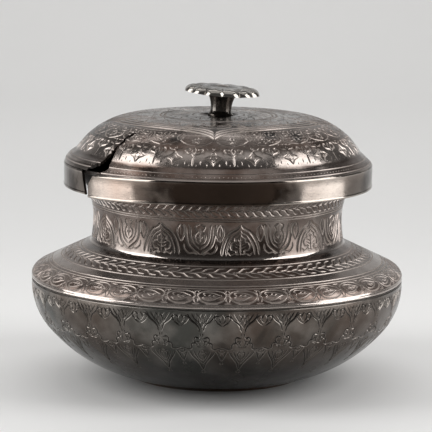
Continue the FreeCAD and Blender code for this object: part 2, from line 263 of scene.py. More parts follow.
class Pen:
    """Draws the engraved lines of one repeat of a frieze.

    A place is a pair of shares: across the repeat from 0 to 1, and up the frieze from 0 to 1.
    """

    SPACING = 0.85
    TAPER = 1.8
    TAPER_POWER = 0.6
    CURVE_STEPS = 12
    CURL_STEP = 12.0
    CURL_POINTS = 9
    LEAF_BULGE = ((0.28, 0.85), (0.6, 0.9))
    RIB_LENGTH = 0.7
    PETAL_START = 0.25
    PETAL_BELLY = 0.36

    def __init__(self, width: float, height: float, stretch: Callable[[np.ndarray], np.ndarray]) -> None:
        """Starts on a bare repeat.

        Args:
            width: Width of the repeat in its middle, in millimetres.
            height: Its height in millimetres.
            stretch: Tells how much wider the repeat is at a height than in its middle.
        """
        self.width = width
        self.height = height
        self.stretch = stretch
        self.strokes: list[Stroke] = []

    def widening(self, up: float) -> float:
        """Tells how much wider the repeat is at a share of its height than in its middle."""
        return float(self.stretch(np.array([up * self.height]))[0])

    def stroke(self, path: np.ndarray, cut: Cut, mirrored: bool, pointed: bool) -> None:
        """Adds a stroke along a path, with evenly spaced points.

        Args:
            path: Points in shares of the repeat.
            cut: Width of the line.
            mirrored: Whether its mirror image in the repeat is added too.
            pointed: Whether the line thins out at its ends.
        """
        track = path * (self.width, self.height)
        steps = np.diff(track, axis=0)
        middle = (track[1:, 1] + track[:-1, 1]) / 2
        lengths = np.hypot(steps[:, 0] * self.stretch(middle), steps[:, 1])
        along = np.concatenate(([0.0], np.cumsum(lengths)))
        count = max(2, math.ceil(along[-1] / self.SPACING))
        places = np.linspace(0, along[-1], count + 1)
        points = np.column_stack([np.interp(places, along, track[:, i]) for i in (0, 1)])
        half = np.full(count + 1, cut.value / 2)
        if pointed:
            taper = min(self.TAPER, along[-1] / 2)
            ends = np.minimum(places, along[-1] - places) / taper
            half *= np.clip(ends, 0, 1) ** self.TAPER_POWER
        self.strokes.append(Stroke(points, half))
        if mirrored:
            self.stroke(path * (-1, 1) + (1, 0), cut, False, pointed)

    def curve(self, *places: Place, cut: Cut = Cut.LINE, mirrored: bool = False,
              pointed: bool = True) -> None:
        """Adds a smooth stroke through places.

        Args:
            places: The places that it passes through.
            cut: Width of the line.
            mirrored: Whether its mirror image in the repeat is added too.
            pointed: Whether the line thins out at its ends.
        """
        knots = np.array(places, float)
        padded = np.vstack((2 * knots[0] - knots[1], knots, 2 * knots[-1] - knots[-2]))
        share = np.linspace(0, 1, self.CURVE_STEPS + 1)[:-1, None]
        spans = []
        for before, start, end, after in zip(padded, padded[1:], padded[2:], padded[3:]):
            bend = 2 * before - 5 * start + 4 * end - after
            twist = 3 * (start - end) + after - before
            spans.append(start + share * (end - before + share * (bend + share * twist)) / 2)
        self.stroke(np.vstack(spans + [knots[-1:]]), cut, mirrored, pointed)

    def line(self, *places: Place, cut: Cut = Cut.LINE, mirrored: bool = False) -> None:
        """Adds straight strokes from place to place.

        Args:
            places: The corners that they join.
            cut: Width of the lines.
            mirrored: Whether their mirror images in the repeat are added too.
        """
        for start, end in zip(places, places[1:]):
            self.curve(start, end, cut=cut, mirrored=mirrored)

    def twins(self, middle: float, *places: Place, cut: Cut = Cut.LINE) -> None:
        """Adds a curve through places counted from an upright line, and its mirror image.

        Args:
            middle: The line's share across the repeat.
            places: Pairs of a share away from the line and a share up the frieze.
            cut: Width of the lines.
        """
        for hand in (1, -1):
            self.curve(*[(middle + hand * across, up) for across, up in places], cut=cut)

    def curl(self, place: Place, radius: float, turn: float, start: float, end_radius: float = 0.6,
             cut: Cut = Cut.LINE, mirrored: bool = False, pointed: bool = True) -> None:
        """Adds a spiral that winds in towards its centre.

        Args:
            place: Its centre.
            radius: Radius where it starts, in millimetres.
            turn: Angle that it winds through, positive where it turns to the left.
            start: Direction from the centre to its start.
            end_radius: Radius where it ends, in millimetres.
            cut: Width of the line.
            mirrored: Whether its mirror image in the repeat is added too.
            pointed: Whether the line thins out at its ends.
        """
        share = np.linspace(0, 1, max(self.CURL_POINTS, round(abs(turn) / self.CURL_STEP)))
        angle = np.radians(start + turn * share)
        reach = radius + (end_radius - radius) * share
        across = place[0] + reach * np.cos(angle) / (self.width * self.widening(place[1]))
        path = np.column_stack((across, place[1] + reach * np.sin(angle) / self.height))
        self.stroke(path, cut, mirrored, pointed)

    def leaf(self, base: Place, tip: Place, belly: float, cut: Cut = Cut.FINE, mirrored: bool = False,
             rib: bool = False) -> None:
        """Adds a pointed leaf.

        Args:
            base: Where it starts.
            tip: Where it ends.
            belly: Its half width as a share of its length.
            cut: Width of the line.
            mirrored: Whether its mirror image in the repeat is added too.
            rib: Whether it has a middle rib.
        """
        scale = np.array((self.width * self.widening(base[1]), self.height))
        start, end = np.array(base), np.array(tip)
        along = (end - start) * scale
        aside = np.array((-along[1], along[0])) * belly / scale
        for side in (1, -1):
            edge = [start + (end - start) * share + side * aside * full for share, full in self.LEAF_BULGE]
            self.curve(start, *edge, end, cut=cut, mirrored=mirrored)
        if rib:
            self.curve(start, start + (end - start) * self.RIB_LENGTH, cut=Cut.HAIR, mirrored=mirrored)

    def petals(self, place: Place, radius: float, count: int) -> None:
        """Adds a small flower.

        Args:
            place: Its centre.
            radius: Reach of its petals in millimetres.
            count: How many petals it has.
        """
        wide = self.width * self.widening(place[1])
        for i in range(count):
            turn = math.tau * (i / count + 0.25)
            step = (math.cos(turn) / wide, math.sin(turn) / self.height)
            ends = [tuple(p + radius * share * s for p, s in zip(place, step))
                    for share in (self.PETAL_START, 1.0)]
            self.leaf(*ends, self.PETAL_BELLY, cut=Cut.LINE)


@dataclass(frozen=True)
class Frieze:
    """A band of repeated engraving between two distances along an outline."""

    low: float
    high: float
    repeats: int
    motif: Callable[[Pen], None]
    punched: float = 0.0


@dataclass(frozen=True)
class Groove:
    """A plain ring cut round a turned surface at a distance along its outline."""

    along: float
    cut: Cut = Cut.LINE


@dataclass(frozen=True)
class Patch:
    """A darkened place, for tarnish and for painted shade alike: where it is, how far it reaches in
    millimetres, and how dark it is.

    Up to an amount of about 0.8 it only darkens the metal. Beyond that it dulls it too.
    """

    FADING = 0.7

    angle: float
    radius: float
    height: float
    reach: float
    amount: float

    def darkness(self, places: np.ndarray) -> np.ndarray:
        """Tells how dark the patch makes a surface.

        Args:
            places: Points in millimetres.

        Returns:
            How dark each of them is.
        """
        turn = math.radians(FRONT + self.angle)
        middle = (self.radius * math.cos(turn), self.radius * math.sin(turn), self.height)
        away = np.linalg.norm(places - middle, axis=1) / self.reach
        return self.amount * np.clip(1 - away, 0, 1) ** self.FADING


@dataclass(frozen=True)
class Shine:
    """A stretch of an outline that is rubbed bright, from 0, dull, to 1, bright."""

    low: float
    high: float
    amount: float


class Engraver:
    """Turns the strokes of one repeat into a cut surface and copies it round.

    The sides of a cut fall by SLOPE. Points lie GRID apart on bare ground, CLEAR of the cuts, and a MARGIN
    at foot and top stays bare. A stroke within REACH of the repeat belongs to it too. Points nearer than
    NEAR are merged, and those within EXACT of a side lie on it. PUNCH is the path of a punched mark, with
    half widths PUNCH_HALF. It keeps the PUNCH_MARGINS from foot, top and sides.
    """

    SLOPE = 0.75
    GRID = 2.3
    CLEAR = 0.5
    MARGIN = 0.3
    REACH = 1.0
    NEAR = 0.02
    EXACT = 0.0001
    ROUNDING = 4
    SIDE_SLACK = 1e-6
    LEAST_SPAN = 1e-12
    PUNCH = np.array(((-0.3, -0.12), (0.0, 0.0), (0.3, 0.12)))
    PUNCH_HALF = np.array((0.12, Cut.HAIR.value / 2, 0.12))
    PUNCH_MARGINS = (0.9, 0.8, 0.7)

    def __init__(self, outline: Outline, frieze: Frieze, steps: int, turn: float) -> None:
        """Measures one repeat of a frieze.

        Args:
            outline: The outline under it.
            frieze: The frieze.
            steps: Points round its foot and its top.
            turn: Where the first repeat starts.
        """
        self.outline = outline
        self.frieze = frieze
        self.steps = steps
        self.turn = math.radians(FRONT + turn)
        self.height = frieze.high - frieze.low
        self.middle_radius = float(outline.at((frieze.low + frieze.high) / 2)[0, 0])
        self.width = math.tau * self.middle_radius / frieze.repeats

    def stretch(self, up: np.ndarray) -> np.ndarray:
        """Tells how much wider the repeat is at a height than in its middle."""
        return self.outline.at(self.frieze.low + np.atleast_1d(up))[:, 0] / self.middle_radius

    def fitting(self, up: float, spacing: float) -> int:
        """Tells how many points of a spacing fit across the repeat at a height."""
        return max(1, round(self.width * float(self.stretch(up)[0]) / spacing))

    def outlines(self, stroke: Stroke) -> list[np.ndarray]:
        """Finds the left edge, the middle and the right edge of a stroke.

        Args:
            stroke: The stroke.

        Returns:
            The points of each.
        """
        scale = self.stretch(stroke.points[:, 1])
        along = np.gradient(stroke.points, axis=0) * np.column_stack((scale, np.ones_like(scale)))
        along /= np.maximum(np.linalg.norm(along, axis=1), TINY)[:, None]
        aside = np.column_stack((-along[:, 1] / scale, along[:, 0])) * stroke.half[:, None]
        return [stroke.points + aside, stroke.points, stroke.points - aside]

    def clipped(self, starts: np.ndarray, ends: np.ndarray) -> tuple[np.ndarray, np.ndarray]:
        """Clips segments to the repeat.

        Args:
            starts: First points of the segments.
            ends: Last points of the segments.

        Returns:
            First and last points of what is left inside.
        """
        low = np.zeros(len(starts))
        high = np.ones(len(starts))
        step = ends - starts
        for axis, first, last in ((0, 0.0, self.width), (1, self.MARGIN, self.height - self.MARGIN)):
            level = np.abs(step[:, axis]) < TINY
            within = starts[:, axis] > first - self.SIDE_SLACK
            within &= starts[:, axis] < last + self.SIDE_SLACK
            safe = np.where(level, 1.0, step[:, axis])
            near = np.where(level, np.where(within, -1.0, 2.0), (first - starts[:, axis]) / safe)
            far = np.where(level, 2.0, (last - starts[:, axis]) / safe)
            low = np.maximum(low, np.minimum(near, far))
            high = np.minimum(high, np.maximum(near, far))
        kept = high - low > TINY
        starts, step = starts[kept], step[kept]
        return starts + step * low[kept, None], starts + step * high[kept, None]

    def depth(self, points: np.ndarray, strokes: Sequence[Stroke]) -> np.ndarray:
        """Works out how deep the cuts are at points of the repeat.

        Args:
            points: Points in millimetres.
            strokes: The strokes.

        Returns:
            The distance from the nearest stroke's edge into the stroke, negative outside all strokes.
        """
        order = np.argsort(points[:, 1])
        across, up = points[order].T
        scale = self.stretch(up)
        reach = Cut.BROAD.value / 2 + self.CLEAR
        best = np.full(len(points), -np.inf)
        for stroke in strokes:
            parts = zip(stroke.points, stroke.points[1:], stroke.half, stroke.half[1:])
            for start, end, first, last in parts:
                foot, top = sorted((start[1], end[1]))
                low, high = np.searchsorted(up, (foot - reach, top + reach))
                wide = scale[low:high]
                step_x, step_y = (end[0] - start[0]) * wide, end[1] - start[1]
                x, y = (across[low:high] - start[0]) * wide, up[low:high] - start[1]
                span = np.maximum(step_x**2 + step_y**2, self.LEAST_SPAN)
                share = np.clip((x * step_x + y * step_y) / span, 0, 1)
                distance = np.hypot(x - share * step_x, y - share * step_y)
                best[low:high] = np.maximum(best[low:high], first + (last - first) * share - distance)
        depth = np.empty_like(best)
        depth[order] = best
        return depth

    def dots(self, strokes: Sequence[Stroke]) -> list[Stroke]:
        """Punches short marks into the ground between the strokes.

        Args:
            strokes: The strokes.

        Returns:
            The marks.
        """
        low, high, aside = self.PUNCH_MARGINS
        places = []
        for i, y in enumerate(np.arange(low, self.height - high, self.frieze.punched)):
            count = self.fitting(y, self.frieze.punched)
            places += [(self.width * (j + 0.25 + 0.5 * (i % 2)) / count, y) for j in range(count)]
        places = np.array(places)
        free = places[self.depth(places, strokes) < -self.CLEAR]
        free = free[(free[:, 0] > aside) & (free[:, 0] < self.width - aside)]
        return [Stroke(place + self.PUNCH, self.PUNCH_HALF) for place in free]

    def strokes(self) -> list[Stroke]:
        """Draws the repeat.

        Returns:
            Its strokes, those that reach in from its neighbours, and its punched ground.
        """
        pen = Pen(self.width, self.height, self.stretch)
        self.frieze.motif(pen)
        drawn = []
        for stroke in pen.strokes:
            for shift in (-self.width, 0.0, self.width):
                points = stroke.points + (shift, 0)
                if points[:, 0].max() >= -self.REACH and points[:, 0].min() <= self.width + self.REACH:
                    drawn.append(Stroke(points, stroke.half))
        if self.frieze.punched:
            drawn += self.dots(drawn)
        return drawn

    def creases(self, strokes: Sequence[Stroke]) -> np.ndarray:
        """Gives the edges and middles of strokes inside the repeat.

        Args:
            strokes: The strokes.

        Returns:
            Both ends of one straight piece after the other.
        """
        lines = [line for stroke in strokes for line in self.outlines(stroke)]
        starts = np.concatenate([line[:-1] for line in lines])
        ends = np.concatenate([line[1:] for line in lines])
        creases = np.hstack(self.clipped(starts, ends)).reshape(-1, 2)
        for side in (0.0, self.width):
            creases[np.abs(creases[:, 0] - side) < self.NEAR, 0] = side
        creases[:, 1] = np.round(creases[:, 1], self.ROUNDING)
        return creases

    def ground(self, creases: np.ndarray, strokes: Sequence[Stroke]) -> list[Place]:
        """Places points round the repeat and over its bare ground.

        Args:
            creases: The edges and middles of the strokes.
            strokes: The strokes.

        Returns:
            The points.
        """
        rows = np.linspace(0, self.height, max(2, math.ceil(self.height / self.GRID)) + 1)
        columns = np.linspace(0, self.width, round(self.steps / self.frieze.repeats) + 1)
        border = [(x, y) for y in (0.0, self.height) for x in columns]
        on_side = (creases[:, 0] == 0) | (creases[:, 0] == self.width)
        heights = np.unique(np.concatenate((rows[1:-1], creases[on_side, 1])))
        border += [(x, y) for x in (0.0, self.width) for y in heights]
        inner = []
        for i, y in enumerate(rows[1:-1]):
            count = self.fitting(y, self.GRID)
            inner += [(self.width * (j + 0.5 * (i % 2)) / count, y) for j in range(1, count)]
        inner = np.array(inner).reshape(-1, 2)
        return border + list(inner[self.depth(inner, strokes) < -self.CLEAR])

    def repeat(self) -> tuple[np.ndarray, np.ndarray, np.ndarray]:
        """Cuts one repeat.

        Returns:
            Points in millimetres, their depths, and the triangles between them.
        """
        strokes = self.strokes()
        creases = self.creases(strokes)
        ground = self.ground(creases, strokes)
        places = [Vector(place) for place in (*ground, *creases)]
        edges = [(i, i + 1) for i in range(len(ground), len(places), 2)]
        found = delaunay_2d_cdt(places, edges, [], 0, self.NEAR)
        points = np.array([tuple(place) for place in found[0]])
        sides = [np.abs(points[:, 0] - side) < self.EXACT for side in (0.0, self.width)]
        for side, on_side in zip((0.0, self.width), sides):
            points[on_side, 0] = side
        depth = np.maximum(self.depth(points, strokes), 0) * self.SLOPE
        depth[(points[:, 1] < self.NEAR) | (points[:, 1] > self.height - self.NEAR)] = 0
        faces = np.array([tuple(face) for face in found[2]])
        sliver = np.any([on_side[faces].all(axis=1) for on_side in sides], axis=0)
        return points, depth, faces[~sliver]

    def cut(self, name: str) -> bpy.types.Object:
        """Makes the whole frieze.

        Args:
            name: Name of the object.

        Returns:
            The frieze as an open surface.
        """
        points, depth, faces = self.repeat()
        radius, height = self.outline.at(self.frieze.low + points[:, 1], depth).T
        corners, triangles = [], []
        for i in range(self.frieze.repeats):
            angle = self.turn + math.tau / self.frieze.repeats * (i + points[:, 0] / self.width)
            corners.append(np.column_stack((radius * np.cos(angle), radius * np.sin(angle), height)))
            triangles += (faces + i * len(points)).tolist()
        mesh = bpy.data.meshes.new(name)
        mesh.from_pydata(np.vstack(corners) * MM, [], triangles)
        Marks.put(mesh, Mark.CUT, np.tile(self.showing(depth), self.frieze.repeats))
        return Shop.shown(bpy.data.objects.new(name, mesh))

    @staticmethod
    def showing(depth: np.ndarray | float) -> np.ndarray:
        """Tells how much a cut of some depth shows, from 0 to 1."""
        return np.clip(depth / (Cut.LINE.value / 2 * Engraver.SLOPE), 0, 1)


class Marks:
    """Writes point attributes on meshes."""

    @staticmethod
    def put(mesh: bpy.types.Mesh, mark: Mark, values: np.ndarray) -> None:
        """Writes one attribute, making it where it is new.

        Args:
            mesh: The mesh that gets it.
            mark: Which attribute.
            values: One number a point.
        """
        layer = mesh.attributes.get(mark.value)
        if layer is None:
            layer = mesh.attributes.new(mark.value, "FLOAT", "POINT")
        layer.data.foreach_set("value", np.asarray(values, np.float32))

    @staticmethod
    def tarnish(mesh: bpy.types.Mesh, patches: Sequence[Patch]) -> None:
        """Marks the darkened places of a mesh: tarnish, and painted shade where a patch stands in for shade.

        Args:
            mesh: The mesh.
            patches: Its darkened places.
        """
        places = Marks.places(mesh)
        dark = sum((patch.darkness(places) for patch in patches), np.zeros(len(places)))
        Marks.put(mesh, Mark.TARNISH, dark)

    @staticmethod
    def places(mesh: bpy.types.Mesh) -> np.ndarray:
        """Gives a mesh's points in millimetres.

        Args:
            mesh: The mesh.

        Returns:
            Their places in rows of three.
        """
        flat = np.empty(len(mesh.vertices) * 3, np.float32)
        mesh.vertices.foreach_get("co", flat)
        return flat.reshape(-1, 3).astype(float) / MM

    @staticmethod
    def side_view(mesh: bpy.types.Mesh) -> np.ndarray:
        """Gives the radius and the height of a mesh's points in millimetres."""
        places = Marks.places(mesh)
        return np.column_stack((np.hypot(places[:, 0], places[:, 1]), places[:, 2]))

    @staticmethod
    def round_axis(places: np.ndarray) -> tuple[np.ndarray, np.ndarray]:
        """Gives the radius of points and their angle from the front."""
        angle = np.degrees(np.arctan2(places[:, 1], places[:, 0])) - FRONT
        return np.hypot(places[:, 0], places[:, 1]), angle

    @staticmethod
    def move(mesh: bpy.types.Mesh, places: np.ndarray) -> None:
        """Puts a mesh's points at places in millimetres."""
        mesh.vertices.foreach_set("co", np.asarray(places * MM, np.float32).ravel())
        mesh.update()


class Shop:
    """The operators that every piece is made with."""

    SMOOTH_ANGLE = 24.0

    @staticmethod
    def shown(piece: bpy.types.Object) -> bpy.types.Object:
        """Puts a new object in the scene."""
        bpy.context.scene.collection.objects.link(piece)
        return piece

    @staticmethod
    def take(*pieces: bpy.types.Object) -> None:
        """Selects only these pieces, with the first one active."""
        bpy.ops.object.select_all(action="DESELECT")
        for piece in pieces:
            piece.select_set(True)
        bpy.context.view_layer.objects.active = pieces[0]

    @staticmethod
    def edit(piece: bpy.types.Object) -> None:
        """Opens a piece in edit mode with all of it selected.

        Args:
            piece: The piece.
        """
        Shop.take(piece)
        bpy.ops.object.mode_set(mode="EDIT")
        bpy.ops.mesh.select_all(action="SELECT")

    @staticmethod
    def close() -> None:
        """Leaves edit mode."""
        bpy.ops.object.mode_set(mode="OBJECT")

    @staticmethod
    def spun(name: str, chains: Sequence[Sequence[Place]], steps: int, turn: float = 0.0,
             closed: bool = False, sweep: float = 360.0) -> bpy.types.Object:
        """Spins side views round the axis.

        Args:
            name: Name of the object.
            chains: Each side view as pairs of radius and height.
            steps: Points round the sweep.
            turn: Where the first point stands, in degrees from the front.
            closed: Whether each side view closes on itself.
            sweep: Angle of the spin in degrees.

        Returns:
            The turned surface.
        """
        facing = math.radians(FRONT + turn)
        corners, edges = [], []
        for chain in chains:
            first = len(corners)
            corners += [(r * math.cos(facing) * MM, r * math.sin(facing) * MM, z * MM) for r, z in chain]
            edges += [(i, i + 1) for i in range(first, len(corners) - 1)]
            if closed:
                edges.append((len(corners) - 1, first))
        mesh = bpy.data.meshes.new(name)
        mesh.from_pydata(corners, edges, [])
        piece = Shop.shown(bpy.data.objects.new(name, mesh))
        Shop.edit(piece)
        bpy.ops.mesh.spin(steps=steps, angle=-math.radians(sweep), center=(0, 0, 0), axis=(0, 0, 1))
        bpy.ops.mesh.select_all(action="SELECT")
        bpy.ops.mesh.remove_doubles(threshold=MERGE_DISTANCE)
        Shop.close()
        return piece

    @staticmethod
    def joined(name: str, pieces: Sequence[bpy.types.Object]) -> bpy.types.Object:
        """Joins surfaces into one closed piece with its faces outwards.

        Args:
            name: Name of the piece.
            pieces: The surfaces, which share their borders.

        Returns:
            The piece.
        """
        Shop.take(*pieces)
        if len(pieces) > 1:
            bpy.ops.object.join()
        piece = bpy.context.view_layer.objects.active
        piece.name = name
        piece.data.name = name
        Shop.edit(piece)
        bpy.ops.mesh.remove_doubles(threshold=MERGE_DISTANCE)
        bpy.ops.mesh.normals_make_consistent(inside=False)
        Shop.close()
        return piece

    @staticmethod
    def smoothed(piece: bpy.types.Object, angle: float = SMOOTH_ANGLE) -> bpy.types.Object:
        """Shades a piece smooth, apart from its crisp edges.

        Args:
            piece: The piece.
            angle: From which angle on an edge stays crisp.

        Returns:
            The piece itself.
        """
        Shop.take(piece)
        bpy.ops.object.shade_smooth_by_angle(angle=math.radians(angle))
        return piece


@dataclass
class Shell:
    """A turned wall of sheet metal whose outer side is engraved."""

    GROOVE_CLEAR = 0.2
    ROUNDING = 6
    SHINE_FADE = 0.6
    FOUND = 0.05
    OUTER_SKIN = 0.8

    name: str
    outer: Outline
    inner: list[Place]
    steps: int
    turn: float = 0.0
    friezes: list[Frieze] = field(default_factory=list)
    grooves: list[Groove] = field(default_factory=list)
    shines: list[Shine] = field(default_factory=list)
    patches: Sequence[Patch] = ()
    row: float = 2.4
    dull: float = 0.0

    def plain(self, low: float, high: float) -> tuple[np.ndarray, np.ndarray]:
        """Places the points of a plain stretch of the outer side, with its ring grooves.

        Args:
            low: Where the stretch starts.
            high: Where it ends.

        Returns:
            Distances along the outline and depths.
        """
        corners = self.outer.lengths[self.outer.corners]
        marks = sorted({low, high} | {float(place) for place in corners if low < place < high})
        depth = {}
        for start, end in zip(marks, marks[1:]):
            steps = max(1, math.ceil((end - start) / self.row))
            depth |= {round(place, self.ROUNDING): 0.0 for place in np.linspace(start, end, steps + 1)}
        ends = (round(low, self.ROUNDING), round(high, self.ROUNDING))
        for groove in self.grooves:
            half, middle = groove.cut.value / 2, groove.along
            if low + half < middle < high - half:
                clear = half + self.GROOVE_CLEAR
                depth = {place: deep for place, deep in depth.items()
                         if abs(place - middle) > clear or place in ends}
                depth |= {middle - half: 0.0, middle: half * Engraver.SLOPE, middle + half: 0.0}
        places = np.array(sorted(depth))
        return places, np.array([depth[place] for place in places])

    def shine(self, along: np.ndarray) -> np.ndarray:
        """Tells how bright places along the outer side are rubbed.

        Args:
            along: Distances along the outline.

        Returns:
            From 0, dull, to 1, bright.
        """
        bright = np.full(len(along), self.dull)
        for shine in self.shines:
            within = np.minimum(along - shine.low, shine.high - along)
            bright = np.maximum(bright, shine.amount * np.clip(within / self.SHINE_FADE + 0.5, 0, 1))
        return bright

    def build(self) -> bpy.types.Object:
        """Builds the wall.

        Returns:
            The finished piece.
        """
        bounds = [0.0] + [edge for frieze in self.friezes for edge in (frieze.low, frieze.high)]
        bounds.append(self.outer.length)
        stretches = [self.plain(low, high) for low, high in zip(bounds[::2], bounds[1::2])]
        chains = [self.outer.at(along, depth) for along, depth in stretches]
        rings = [(place, deep) for chain, (_, depth) in zip(chains, stretches)
                 for place, deep in zip(chain, depth) if deep > 0]
        inner = np.reshape(self.inner, (-1, 2))
        if self.outer.table[-1, 0] < MERGE_DISTANCE and len(inner):
            chains.append(inner)
        else:
            chains[-1] = np.vstack((chains[-1], inner))
        surfaces = [Shop.spun(self.name + "_plain", chains, self.steps, self.turn)]
        self.mark_rings(surfaces[0].data, rings)
        for frieze in self.friezes:
            engraver = Engraver(self.outer, frieze, self.steps, self.turn)
            surfaces.append(engraver.cut(self.name + "_frieze"))
        piece = Shop.joined(self.name, surfaces)
        self.mark_shine(piece.data)
        Marks.tarnish(piece.data, self.patches)
        return Shop.smoothed(piece)

    def mark_rings(self, mesh: bpy.types.Mesh, rings: Sequence[tuple[np.ndarray, float]]) -> None:
        """Marks the ring grooves on the spun surface.

        Args:
            mesh: The spun surface.
            rings: Radius and height of each groove's bottom, and its depth.
        """
        here = Marks.side_view(mesh)
        cut = np.zeros(len(here))
        for place, deep in rings:
            cut[np.linalg.norm(here - place, axis=1) < self.FOUND] = Engraver.showing(deep)
        Marks.put(mesh, Mark.CUT, cut)

    def mark_shine(self, mesh: bpy.types.Mesh) -> None:
        """Marks how bright each point of the piece is rubbed.

        Args:
            mesh: The whole piece.
        """
        here = Marks.side_view(mesh)
        nearest = np.zeros(len(here), int)
        gap = np.full(len(here), np.inf)
        for i in range(0, len(self.outer.table), 2):
            distance = ((here - self.outer.table[i]) ** 2).sum(1)
            closer = distance < gap
            nearest[closer] = i
            gap[closer] = distance[closer]
        bright = self.shine(self.outer.lengths[nearest])
        bright[gap > self.OUTER_SKIN**2] = 0
        Marks.put(mesh, Mark.POLISH, bright)


@dataclass(frozen=True)
class Cloud:
    """Noise with a range stretched out of it: clouds in a metre, finer layers, range and stirring."""

    scale: float
    detail: float
    low: float = 0.0
    high: float = 1.0
    stirred: float = 0.0


class NodeBench:
    """Adds and links the nodes of one material."""

    MIX_SHARE, MIX_FIRST, MIX_SECOND, MIX_RESULT = 0, 6, 7, 2

    def __init__(self, name: str) -> None:
        """Starts a material with a metal shader and its object coordinates.

        Args:
            name: Name of the material.
        """
        self.material = bpy.data.materials.new(name)
        self.material.use_nodes = True
        self.tree = self.material.node_tree
        self.shader = self.tree.nodes["Principled BSDF"]
        self.place = self.add("TexCoord", {}, "Object")

    def link(self, source: Socket, target: str) -> None:
        """Links an output to an input of the shader."""
        self.tree.links.new(source, self.shader.inputs[target])

    def add(self, kind: str, inputs: dict[str | int, Value], output: str | int, **settings: str) -> Socket:
        """Adds a node.

        Args:
            kind: Its type, without the start that all types share.
            inputs: What goes into it: sockets to link, or constants.
            output: Which of its outputs is wanted.
            settings: Its other settings.

        Returns:
            The output.
        """
        node = self.tree.nodes.new("ShaderNode" + kind)
        for name, choice in settings.items():
            setattr(node, name, choice)
        for name, value in inputs.items():
            if isinstance(value, Socket):
                self.tree.links.new(value, node.inputs[name])
            else:
                node.inputs[name].default_value = value
        return node.outputs[output]

    def mark(self, mark: Mark) -> Socket:
        """Reads a point attribute as a number."""
        return self.add("Attribute", {}, "Fac", attribute_name=mark.value)

    def height(self) -> Socket:
        """Measures the height above the floor that the vessel stands on, in metres."""
        return self.add("SeparateXYZ", {"Vector": self.place}, "Z")

    def stretched(self, scale: Point) -> Socket:
        """Scales the object coordinates along each axis."""
        return self.add("Mapping", {"Vector": self.place, "Scale": scale}, "Vector")

    def noise(self, cloud: Cloud, place: Socket | None = None) -> Socket:
        """Adds cloudy noise.

        Args:
            cloud: What the clouds are like.
            place: Coordinates, or None for the object's own.

        Returns:
            A number about 0.5.
        """
        inputs = {"Vector": place or self.place, "Scale": cloud.scale, "Detail": cloud.detail,
                  "Distortion": cloud.stirred}
        return self.add("TexNoise", inputs, "Fac")

    def clouds(self, cloud: Cloud, from_value: float = 0.0, to_value: float = 1.0,
               place: Socket | None = None) -> Socket:
        """Adds cloudy noise with its range spread between two values."""
        return self.spread(self.noise(cloud, place), cloud.low, cloud.high, from_value, to_value)

    def spread(self, value: Socket, low: float, high: float, from_value: float = 0.0,
               to_value: float = 1.0) -> Socket:
        """Maps a range of numbers to another one, smoothly and held at its ends.

        Args:
            value: The number.
            low: Start of its range.
            high: End of its range.
            from_value: What the start becomes.
            to_value: What the end becomes.

        Returns:
            The mapped number.
        """
        inputs = {"Value": value, "From Min": low, "From Max": high, "To Min": from_value,
                  "To Max": to_value}
        return self.add("MapRange", inputs, "Result", interpolation_type="SMOOTHSTEP")

    def added(self, first: Socket, second: Socket) -> Socket:
        """Adds two numbers."""
        return self.add("Math", {0: first, 1: second}, 0, operation="ADD")

    def share(self, number: Socket, factor: float) -> Socket:
        """Takes a share of a number."""
        return self.add("Math", {0: number, 1: factor}, 0, operation="MULTIPLY")

    def blend(self, share: Socket, first: Socket | Colour, second: Colour) -> Socket:
        """Blends two colours.

        Args:
            share: How much of the second colour shows.
            first: The first colour, as a socket or a constant.
            second: The second colour.

        Returns:
            The blended colour.
        """
        start = first if isinstance(first, Socket) else (*first, 1.0)
        inputs = {self.MIX_SHARE: share, self.MIX_FIRST: start, self.MIX_SECOND: (*second, 1.0)}
        return self.add("Mix", inputs, self.MIX_RESULT, data_type="RGBA")

    def bump(self, height: Socket, distance: float, strength: float = 1.0,
             under: Socket | None = None) -> Socket:
        """Adds relief to the surface's normal.

        Args:
            height: The relief, from 0 to 1.
            distance: Its real height in metres.
            strength: How much of it shows.
            under: A normal that already has relief, or None.

        Returns:
            The new normal.
        """
        inputs = {"Height": height, "Distance": distance, "Strength": strength}
        if under is not None:
            inputs["Normal"] = under
        return self.add("Bump", inputs, "Normal")


